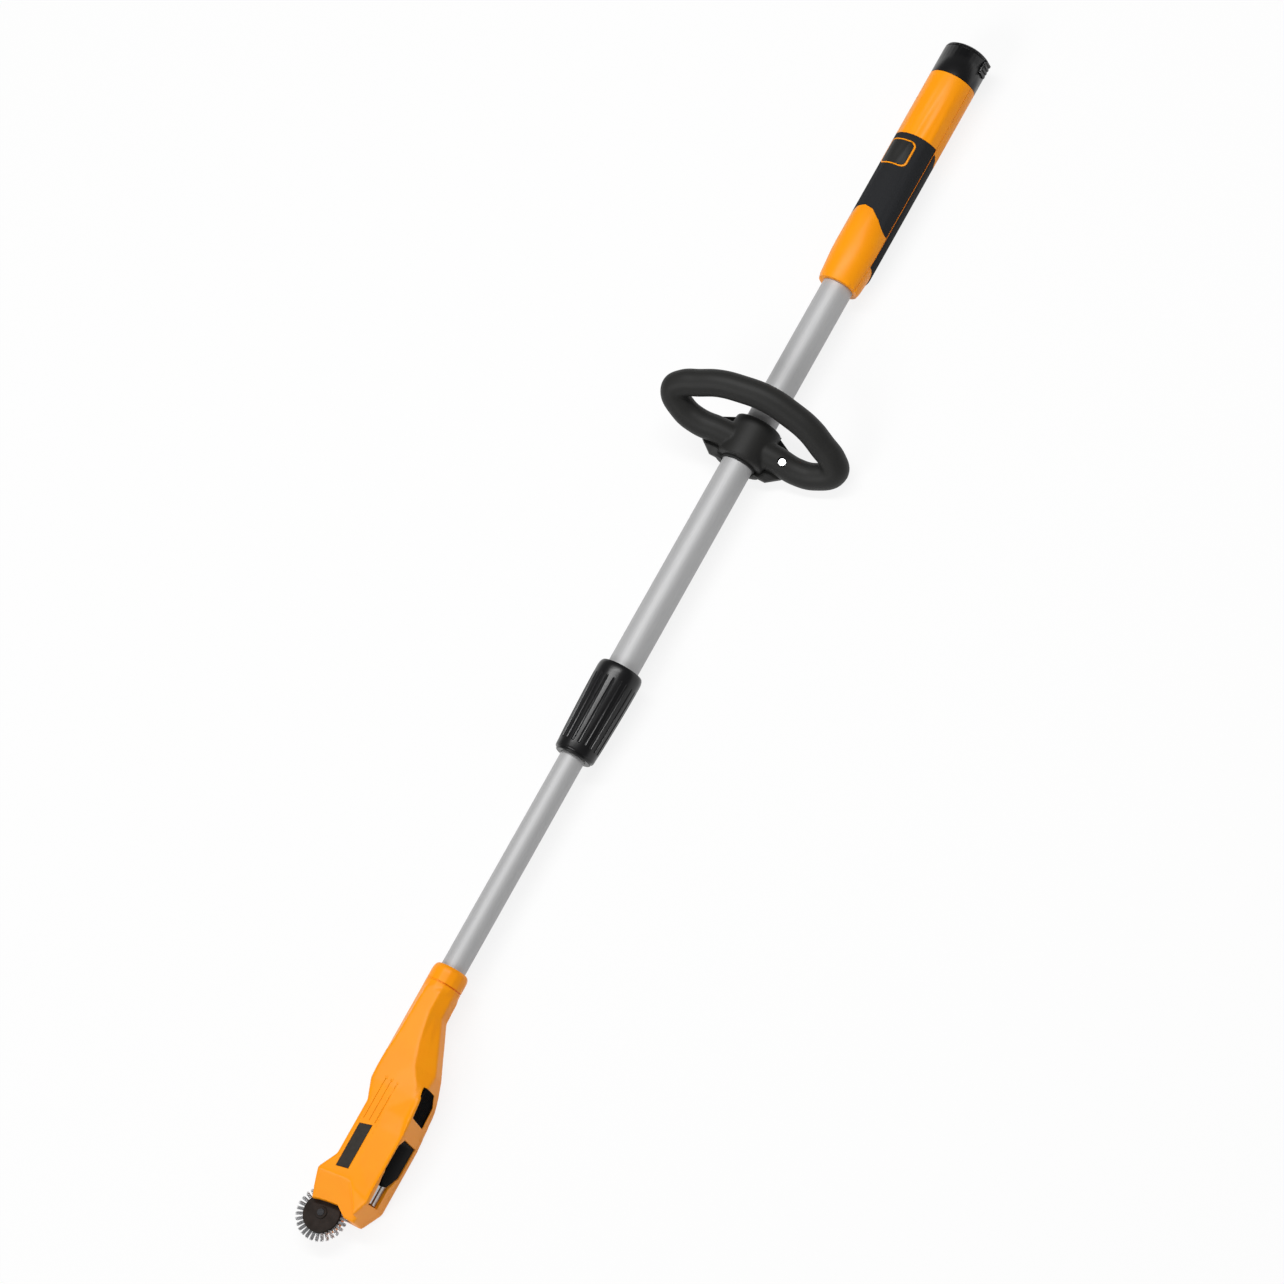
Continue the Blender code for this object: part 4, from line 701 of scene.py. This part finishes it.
class WEEDBRUSH_OT_head(bpy.types.Operator):
    """Adds the two halves of the head's casing, edges rounded, and the bare label"""
    bl_idname = "weedbrush.head"
    bl_label = "Head Casing"

    def execute(self, context):
        form = head_form()
        body = refined("head_body", flat=0)
        for y in GROOVES:
            plug = block(head_spot(GROOVE_FOOT + 0.6, y - PLUG_HALF, 21.0),
                         head_spot(GROOVE_TOP - 0.6, y + PLUG_HALF, 21.96))
            carve(body, plug, how='UNION')
        carve(body, vent_slab(*VENT_PLUG), how='UNION')
        carve(body, copy_of(form), how='INTERSECT')
        for y in GROOVES:
            line = block(head_spot(GROOVE_FOOT, y - LINE_HALF, 21.5),
                         head_spot(GROOVE_TOP, y + LINE_HALF, 24.0))
            dot = turned([(21.3 * MM, DOT_R), (24.0 * MM, DOT_R)],
                         head_spot(GROOVE_TOP, y, 0), 'Z', 20)
            carve(body, line, dot)
        room = slab([(-u * MM, z * MM) for u, z in KEY_ROOM], ROOM_FACE, ROOM_THICK, 'Y',
                    head_spot(0, 0, 0))
        carve(body, room, vent_slab(*VENT_OPENING))
        settle(body, "head_casing", "lower_pole", finish(orange_abs), "orange_plastic", "head_body",
               smooth=30)
        for screw in HEAD_SCREWS:
            centre = (low(screw) + high(screw)) / 2
            boss = turned([(-1 * MM, SCREW_BOSS), (8 * MM, SCREW_BOSS)],
                          (centre.x, centre.y, low(screw).z), 'Z', 40)
            carve(form, boss, how='UNION')
        cover = refined("head_cover", flat=0)
        carve(cover, form, how='INTERSECT')
        settle(cover, "head_casing_cover", "lower_pole", finish(orange_abs), "orange_plastic",
               "head_cover", smooth=30)
        plate = refined("label_plate", 0.2 * MM, 2, 30)
        settle(plate, "bare_label", "lower_pole", finish(label_film), "label_film", "label_plate")
        return {'FINISHED'}


VENT = [(99.6, 16.6), (108.0, 18.6), (127.0, 18.0), (128.9, -9.0), (109.6, -10.8),
        (100.2, -2.6)]
VENT_MIDDLE = Vector((114.5, 5.0))
VENT_FACE = -41.1
VENT_LEAN = math.radians(4.6)
MESH_PITCH = 1.7
MESH_WIRE = 0.62
# Scale of the hexagon, start below its face and thickness in millimetres
VENT_PLUG = (1.3, -3, 5.5)
VENT_OPENING = (1.0, -8, 11.2)
VENT_RIM = (0.985, 0.25, 1.6)
VENT_RIM_HOLE = (0.93, -4, 12)
VENT_FIELD = (0.95, -2, 6)


def vent_slab(scale, start, thick):
    """Hexagon of the vent at a depth from its face, leaning with the casing's side."""
    outline = [((VENT_MIDDLE.x - u) * scale * MM, (z - VENT_MIDDLE.y) * scale * MM)
               for u, z in VENT]
    obj = slab(outline, start * MM, thick * MM, 'Y')
    obj.data.transform(Matrix.Translation(head_spot(VENT_MIDDLE.x, VENT_FACE, VENT_MIDDLE.y))
                       @ Matrix.Rotation(VENT_LEAN, 4, 'Z'))
    return obj


class WEEDBRUSH_OT_vent(bpy.types.Operator):
    """Adds the fine mesh in the cooling vent, in its thin frame"""
    bl_idname = "weedbrush.vent"
    bl_label = "Vent Mesh"

    def execute(self, context):
        rim = vent_slab(*VENT_RIM)
        carve(rim, vent_slab(*VENT_RIM_HOLE))
        layers = [rim]
        for n, slant in enumerate((math.radians(45), math.radians(-45))):
            bars = []
            for k in range(-14, 15):
                bar = block((-26 * MM, -0.25 * MM, -MESH_WIRE / 2 * MM),
                            (26 * MM, 0.25 * MM, MESH_WIRE / 2 * MM))
                bar.data.transform(
                    Matrix.Translation(head_spot(VENT_MIDDLE.x, VENT_FACE + 0.75 + 0.45 * n,
                                                 VENT_MIDDLE.y))
                    @ Matrix.Rotation(VENT_LEAN, 4, 'Z') @ Matrix.Rotation(slant, 4, 'Y')
                    @ Matrix.Translation((0, 0, k * MESH_PITCH * MM)))
                bars.append(bar)
            layers.append(carve(join(bars), vent_slab(*VENT_FIELD), how='INTERSECT'))
        settle(join(layers), "vent_mesh", "lower_pole", finish(deep_black), "matte_black",
               "vent_grille")
        return {'FINISHED'}


# Outlines in millimetres: distance below the socket's rim, height off the pole's axis
KEY_WEDGE = [(145.8, 12.4), (152.0, 18.0), (173.0, 18.4), (182.2, 13.2), (187.2, 9.4),
             (185.2, -1.4), (182.0, -4.2), (173.4, -12.4), (146.2, -12.8)]
KEY_ROOM = [(145.1, 12.9), (151.8, 18.9), (173.4, 19.2), (184.0, 13.8), (190.0, 12.0),
            (186.0, -4.6), (182.0, -5.0), (173.6, -13.3), (145.5, -13.6)]
KEY_FACE = -43.4 * MM
KEY_THICK = 6.6 * MM
ROOM_FACE = -60 * MM
ROOM_THICK = 23.2 * MM


class WEEDBRUSH_OT_key(bpy.types.Operator):
    """Adds the stored brush-change key"""
    bl_idname = "weedbrush.key"
    bl_label = "Brush Key"

    def execute(self, context):
        outline = [(-u * MM, z * MM) for u, z in KEY_WEDGE]
        grip = slab(outline, KEY_FACE, KEY_THICK, 'Y', head_spot(0, 0, 0))
        soften(grip, 0.7 * MM, 3, 30)
        settle(grip, "key_wedge_grip", "key", finish(deep_black), "gloss_black", "key_grip")
        fork = refined("key_fork", 0.35 * MM, 2, 30)
        settle(fork, "key_forked_shank", "key", finish(bright_zinc), "bright_steel", "key_fork")
        return {'FINISHED'}


HUB_BORE = 3.15 * MM
NUT_RING_R = 5.2 * MM
WIRE_R = 0.13 * MM
WIRE_L = 9.2 * MM
WIRE_REACH = 18.9 * MM
WIRE_STEP = 0.35 * MM
TUFT_R = 1.38 * MM
GOLDEN_TURN = 2.39996
SPLAY = 0.045
LEAN = 0.03


class WEEDBRUSH_OT_brush(bpy.types.Operator):
    """Adds the brush wheel: hub, plate, nut and wire tufts"""
    bl_idname = "weedbrush.brush"
    bl_label = "Brush Wheel"

    def execute(self, context):
        s = sizes()
        top = high("brush_hub").z
        centre = Vector((WHEEL.x, WHEEL.y, 0))
        base = low("brush_hub").z
        hub = turned([(base, HUB_BORE), (base, 16.2 * MM), (top - 0.9 * MM, 16.4 * MM),
                      (top - 0.3 * MM, 16.1 * MM), (top, 15.3 * MM), (top, NUT_RING_R),
                      (top - 0.15 * MM, 5.1 * MM), (top - 0.15 * MM, HUB_BORE),
                      (base, HUB_BORE)], centre, 'Z', 120, hollow=True)
        settle(hub, "hub_disc", "brush", finish(smoked_hub_painted_shade), "smoked_plastic", "brush_hub")
        plate = refined("brush_hub_plate", 0.15 * MM, 2, 30)
        settle(plate, "hub_back_plate", "brush", finish(smoked_hub_painted_shade), "smoked_plastic",
               "brush_hub_plate")
        floor = low("brush_nut").z
        nut = turned([(floor, 2.2 * MM), (floor, 4.9 * MM), (floor + 0.5 * MM, 5.0 * MM),
                      (floor + 0.8 * MM, 4.6 * MM), (floor + 0.9 * MM, 0.6 * MM),
                      (floor + 0.9 * MM, 0.0)],
                     centre, 'Z', 72, hollow=True)
        settle(nut, "two_hole_nut", "brush", finish(smoked_hub_painted_shade), "dark_steel", "brush_nut")
        ready()
        bpy.ops.mesh.primitive_cylinder_add(vertices=4, radius=WIRE_R, depth=WIRE_L,
                                            rotation=FACING['X'])
        wire = bpy.context.object
        bpy.ops.object.transform_apply(location=False, rotation=True, scale=False)
        strands = []
        for k in range(s.tufts):
            angle = math.tau * (k + 0.5) / s.tufts
            for n in range(s.wires):
                ring = math.sqrt((n + 0.5) / s.wires)
                about = n * GOLDEN_TURN
                off = Vector((0, ring * TUFT_R * math.cos(about),
                              ring * TUFT_R * math.sin(about)))
                reach = WIRE_REACH - WIRE_STEP * ((n * 7 + k * 3) % 5)
                twin = copy_of(wire)
                splay = Matrix.Rotation(SPLAY * math.sin(n * 1.7 + k), 4, 'Z')
                lean = Matrix.Rotation(LEAN * math.sin(n * 2.3 + k * 1.3), 4, 'Y')
                spin = Matrix.Rotation(angle, 4, 'Z')
                twin.data.transform(
                    Matrix.Translation(WHEEL) @ spin
                    @ Matrix.Translation(Vector((reach, 0, 0)) + off) @ splay @ lean)
                strands.append(twin)
        bpy.data.objects.remove(wire, do_unlink=True)
        tufts = join(strands)
        ring = band(-1.6 * MM, 1.6 * MM, 11.3 * MM, 15.5 * MM, WHEEL, 'Z', 90)
        tufts = join([tufts, ring])
        settle(tufts, "wire_tufts", "brush", finish(spring_wire), "steel_wire", "brush_tufts",
               smooth=0)
        return {'FINISHED'}


# Half of the loop's line: share of the half width, share of the height
LOOP_SHAPE = [(0.0, 0.03), (0.35, 0.04), (0.61, 0.01), (0.83, 0.10), (1.0, 0.36), (0.935, 0.52),
              (0.76, 0.68), (0.56, 0.84), (0.31, 0.94), (0.0, 1.0)]
LOOP_HALF_W = 77.7 * MM
LOOP_TOP = 57.5 * MM
LOOP_FOOT = 4.5 * MM
LOOP_LEAN = math.radians(40.0)
LOOP_TURN = math.radians(18.0)
LOOP_TO_GRIP = 169 * MM
LOOP_SPACE = (Matrix.Translation((GRIP_X - LOOP_TO_GRIP, AXIS_Y, AXIS_Z))
              @ Matrix.Rotation(LOOP_TURN, 4, 'X'))
LOOP_BORE = 15.85 * MM
BOLT = (1.8 * MM, 34.0 * MM)
BOLT_SEAT = 12.5 * MM
BOLT_HOLE_R = 2.1 * MM
BOLT_ROOM_R = 4.2 * MM
BOSS_R = 6.8 * MM
WEB_NEAR = 12 * MM
WEB_FAR = 36 * MM
# Saddle profile in millimetres: place along the pole, radius
SADDLE = [(-12.5, 20.2), (-11.8, 21.3), (-9.0, 21.7), (22.0, 21.7), (24.8, 21.3), (25.5, 20.2)]
LOOP_VOXEL = 0.8 * MM
LOOP_ROUNDS = 14


class WEEDBRUSH_OT_loop(bpy.types.Operator):
    """Adds the loop handle with its saddle, and its clamp"""
    bl_idname = "weedbrush.loop"
    bl_label = "Loop Handle"

    def execute(self, context):
        s = sizes()
        half = []
        for across, up in LOOP_SHAPE:
            height = LOOP_FOOT + (LOOP_TOP - LOOP_FOOT) * up
            half.append(Vector((height * math.sin(LOOP_LEAN), across * LOOP_HALF_W,
                                height * math.cos(LOOP_LEAN))))
        points = half + [Vector((p.x, -p.y, p.z)) for p in reversed(half[1:-1])]
        ready()
        bpy.ops.curve.primitive_bezier_circle_add(radius=LOOP_HALF_W)
        bar = context.object
        spline = bar.data.splines[0]
        spline.bezier_points.add(len(points) - len(spline.bezier_points))
        for point, spot in zip(spline.bezier_points, points):
            point.co = spot
            point.handle_left_type = 'AUTO'
            point.handle_right_type = 'AUTO'
        spline.resolution_u = 10
        bar.data.bevel_depth = s.loop_bar
        bar.data.bevel_resolution = 8
        bpy.ops.object.convert(target='MESH')
        bar = context.object
        edit(bar)
        bpy.ops.mesh.remove_doubles(threshold=0.00001)
        bpy.ops.mesh.normals_make_consistent(inside=False)
        done()
        saddle = turned([(x * MM, r * MM) for x, r in SADDLE], (0, 0, 0), 'X', 64)
        pieces = [bar, saddle]
        for side in (-1, 1):
            boss = turned([(-6 * MM, BOSS_R), (BOLT_SEAT, BOSS_R)],
                          (BOLT[0], side * BOLT[1], 0), 'Z', 40)
            near, far = sorted((side * WEB_NEAR, side * WEB_FAR))
            web = block((-6.5 * MM, near, -4 * MM), (14.5 * MM, far, 7 * MM))
            pieces += [boss, web]
        handle = smoothed(join(pieces), LOOP_VOXEL, LOOP_ROUNDS)
        cutters = [turned([(-60 * MM, LOOP_BORE), (60 * MM, LOOP_BORE)], (0, 0, 0), 'X', 96),
                   block((-20 * MM, -39.5 * MM, -60 * MM), (30 * MM, 39.5 * MM, -0.5 * MM))]
        for cutter in cutters:
            carve(handle, cutter)
        seat = turned([(BOLT_SEAT, BOLT_ROOM_R), (BOLT_SEAT + 30 * MM, BOLT_ROOM_R)],
                      (BOLT[0], -BOLT[1], 0), 'Z', 40)
        hole = turned([(-20 * MM, BOLT_HOLE_R), (BOLT_SEAT + 1 * MM, BOLT_HOLE_R)],
                      (BOLT[0], -BOLT[1], 0), 'Z', 32)
        room = turned([(-2 * MM, BOLT_ROOM_R), (3.2 * MM, BOLT_ROOM_R),
                       (3.2 * MM, BOLT_HOLE_R), (9 * MM, BOLT_HOLE_R)],
                      (BOLT[0], BOLT[1], 0), 'Z', 32)
        for cutter in (seat, hole, room):
            carve(handle, cutter)
        handle.data.transform(LOOP_SPACE)
        settle(handle, "loop_bar_and_saddle", "loop", finish(grained_nylon), "matte_black",
               "loop_handle", smooth=35)
        clamp = refined("loop_clamp", 0.7 * MM, 3, 30)
        settle(clamp, "loop_clamp_half", "loop", finish(grained_nylon), "matte_black", "loop_clamp")
        return {'FINISHED'}


class WEEDBRUSH_OT_grip(bpy.types.Operator):
    """Adds the grip shells, soft pads and button"""
    bl_idname = "weedbrush.grip"
    bl_label = "Grip"

    def execute(self, context):
        for tag in ("top", "under"):
            shell = refined("grip_shell_" + tag, 0.25 * MM, 2, 30)
            settle(shell, "grip_half_" + tag, "upper_pole", finish(orange_abs), "orange_plastic",
                   "grip_shell_" + tag)
            pad = refined("grip_pad_" + tag, 0.2 * MM, 2, 30)
            settle(pad, "soft_pad_" + tag, "upper_pole", finish(soft_tpe), "soft_grip",
                   "grip_pad_" + tag)
        rim = refined("button_surround", 0.3 * MM, 2, 30)
        settle(rim, "button_rim", "upper_pole", finish(orange_abs), "orange_plastic",
               "button_surround")
        button = refined("power_button", 0.5 * MM, 3, 30)
        settle(button, "push_button", "button", finish(grained_nylon), "gloss_black",
               "power_button")
        return {'FINISHED'}


CAP_LINE_DEPTH = 0.6 * MM
CAP_NOTCHES = 40
NOTCH_L = 4.0 * MM
NOTCH_HALF = 0.7 * MM
NOTCH_DEPTH = 0.7 * MM


class WEEDBRUSH_OT_battery(bpy.types.Operator):
    """Adds the battery's cap and its latch tabs"""
    bl_idname = "weedbrush.battery"
    bl_label = "Battery"

    def execute(self, context):
        cap = refined("battery_cap", 0.4 * MM, 3, 30)
        end = high("battery_cap").x
        radius = (high("battery_cap").z - low("battery_cap").z) / 2
        line = band(-5.2 * MM, -4.4 * MM, radius - CAP_LINE_DEPTH, radius + 2 * MM,
                    (end, AXIS_Y, AXIS_Z))
        tooth = block((end - NOTCH_L, AXIS_Y - NOTCH_HALF, AXIS_Z + radius - NOTCH_DEPTH),
                      (end + 1 * MM, AXIS_Y + NOTCH_HALF, AXIS_Z + radius + 2 * MM))
        teeth = [tooth]
        for k in range(1, CAP_NOTCHES):
            twin = copy_of(tooth)
            swing(twin, math.tau * k / CAP_NOTCHES)
            teeth.append(twin)
        carve(cap, line, join(teeth))
        settle(cap, "end_cap", "battery", finish(black_gloss), "gloss_black", "battery_cap")
        for tag in ("left", "right"):
            tab = refined("latch_tab_" + tag, 0.25 * MM, 2, 30)
            settle(tab, "ridged_tab_" + tag, "latch_" + tag, finish(black_gloss), "gloss_black",
                   "latch_tab_" + tag)
        repaint(grained_nylon, "battery_case", "terminal_block", "power_switch")
        repaint(cell_sleeve, "battery_cell_1", "battery_cell_2")
        return {'FINISHED'}


class WEEDBRUSH_OT_inside(bpy.types.Operator):
    """Gives the drive, pole and clamp parts their finishes"""
    bl_idname = "weedbrush.inside"
    bl_label = "Inner Parts"

    def execute(self, context):
        repaint(bright_zinc, "motor_can", "motor_shaft", "spindle_bearing", "lay_pin",
                "idler_pin", "loop_bolt_left", "loop_bolt_right", "loop_nut_left",
                "loop_nut_right")
        repaint(natural_nylon, "lay_gear", "idler_gear", "collet", "clamp_ring")
        repaint(grained_nylon, "motor_end_bell", "guide_bush")
        repaint(moulded_rubber, "cable", "cable_coil", "loop_liner")
        repaint(black_oxide, "spindle", *HEAD_SCREWS, "socket_screw", "grip_screw_1",
                "grip_screw_2")
        return {'FINISHED'}


# Camera: 13 degrees of foreshortening towards the head, rolled 25 degrees to the vent's side
HEAD_NEARER = math.radians(13.0)
ROLL = math.radians(25.0)
POLE_ON_IMAGE = Vector((0.49090, 0.87122))
DISTANCE = 3.556
FOCAL_PIXELS = 4200
PHOTO_PIXELS = 1284
SENSOR = 36
LENS = FOCAL_PIXELS / PHOTO_PIXELS * SENSOR
LOOK_X = COLLAR_X + 116 * MM
LOOK_ASIDE = 3.05 * MM


FLOOR_SIZE = 14
FLOOR_Z = -0.2 * MM
FLOOR_GLOW = 0.86
WORLD_LIGHT = 0.22
# Name, place, watts, length and width of each lamp
LAMPS = (("key", (-3.75, 1.0, 3.15), 100.0, 2.2, 2.2),
         ("strip", (0.7, 0.2, 2.9), 60.0, 2.5, 0.4))


class WEEDBRUSH_OT_stage(bpy.types.Operator):
    """Adds the floor, lamps, world and camera"""
    bl_idname = "weedbrush.stage"
    bl_label = "Stage"

    def execute(self, context):
        ready()
        bpy.ops.mesh.primitive_plane_add(size=FLOOR_SIZE, location=(0, 0, FLOOR_Z))
        floor = bpy.context.object
        floor.name = "floor"
        material = bpy.data.materials.new("pale_floor")
        material.use_nodes = True
        tree = material.node_tree
        bsdf = tree.nodes["Principled BSDF"]
        bsdf.inputs["Base Color"].default_value = colour("#F2F2F2")
        bsdf.inputs["Roughness"].default_value = 0.9
        path = add(tree, "ShaderNodeLightPath")
        either = add(tree, "ShaderNodeMath", {0: path.outputs["Is Camera Ray"],
                                              1: path.outputs["Is Glossy Ray"]},
                     operation='MAXIMUM')
        glow = add(tree, "ShaderNodeEmission", values={"Color": (1, 1, 1, 1), "Strength": 1.0})
        both = add(tree, "ShaderNodeMixShader", {1: bsdf.outputs["BSDF"],
                                                 2: glow.outputs["Emission"]},
                   {"Fac": FLOOR_GLOW})
        mix = add(tree, "ShaderNodeMixShader", {0: either.outputs[0], 1: bsdf.outputs["BSDF"],
                                                2: both.outputs[0]})
        tree.links.new(mix.outputs[0], tree.nodes["Material Output"].inputs["Surface"])
        floor.data.materials.append(material)

        world = bpy.data.worlds.new("studio")
        context.scene.world = world
        world.use_nodes = True
        tree = world.node_tree
        back = tree.nodes["Background"]
        back.inputs["Color"].default_value = (1, 1, 1, 1)
        back.inputs["Strength"].default_value = WORLD_LIGHT
        plain = add(tree, "ShaderNodeBackground", values={"Color": (1, 1, 1, 1), "Strength": 1.0})
        path = add(tree, "ShaderNodeLightPath")
        mix = add(tree, "ShaderNodeMixShader", {0: path.outputs["Is Camera Ray"],
                                                1: back.outputs[0], 2: plain.outputs[0]})
        tree.links.new(mix.outputs[0], tree.nodes["World Output"].inputs["Surface"])

        for name, spot, power, length, width in LAMPS:
            bpy.ops.object.light_add(type='AREA', location=spot)
            lamp = bpy.context.object
            lamp.name = name + "_lamp"
            lamp.data.energy = power
            lamp.data.shape = 'RECTANGLE'
            lamp.data.size = length
            lamp.data.size_y = width
            lamp.rotation_euler = (-Vector(spot)).to_track_quat('-Z', 'Y').to_euler()

        towards = Vector((-math.sin(HEAD_NEARER), -math.cos(HEAD_NEARER) * math.sin(ROLL),
                          math.cos(HEAD_NEARER) * math.cos(ROLL)))
        pole = Vector((1, 0, 0)) - towards * towards.x
        pole.normalize()
        aside = pole.cross(towards)
        right = pole * POLE_ON_IMAGE.x + aside * POLE_ON_IMAGE.y
        up = pole * POLE_ON_IMAGE.y - aside * POLE_ON_IMAGE.x
        target = Vector((LOOK_X, AXIS_Y, AXIS_Z)) + aside * LOOK_ASIDE
        bpy.ops.object.camera_add()
        camera = bpy.context.object
        camera.name = "photo_camera"
        camera.data.lens = LENS
        camera.data.sensor_width = SENSOR
        turn = Matrix((right, up, towards)).transposed().to_4x4()
        camera.matrix_world = Matrix.Translation(target + towards * DISTANCE) @ turn
        context.scene.camera = camera
        context.scene.view_settings.view_transform = 'Standard'
        return {'FINISHED'}


OPERATORS = (WEEDBRUSH_OT_stage, WEEDBRUSH_OT_tubes, WEEDBRUSH_OT_collar, WEEDBRUSH_OT_head,
             WEEDBRUSH_OT_vent, WEEDBRUSH_OT_key, WEEDBRUSH_OT_brush, WEEDBRUSH_OT_loop,
             WEEDBRUSH_OT_grip, WEEDBRUSH_OT_battery, WEEDBRUSH_OT_inside)


class WEEDBRUSH_PT_panel(bpy.types.Panel):
    bl_idname = "WEEDBRUSH_PT_panel"
    bl_label = "Weed Brush"
    bl_space_type = 'VIEW_3D'
    bl_region_type = 'UI'
    bl_category = "Weed Brush"

    def draw(self, context):
        sizes_here = context.scene.weed_brush_sizes
        for name in ("flutes", "flute_width", "flute_depth", "loop_bar", "wires", "tufts"):
            self.layout.prop(sizes_here, name)
        for operator in OPERATORS:
            self.layout.operator(operator.bl_idname)


def register():
    for item in (WeedBrushSizes, *OPERATORS, WEEDBRUSH_PT_panel):
        bpy.utils.register_class(item)
    bpy.types.Scene.weed_brush_sizes = bpy.props.PointerProperty(type=WeedBrushSizes)


def unregister():
    del bpy.types.Scene.weed_brush_sizes
    for item in reversed((WeedBrushSizes, *OPERATORS, WEEDBRUSH_PT_panel)):
        bpy.utils.unregister_class(item)


def main():
    register()
    for operator in OPERATORS:
        group, name = operator.bl_idname.split(".")
        getattr(getattr(bpy.ops, group), name)()
    ready()


if __name__ == "__main__":
    main()
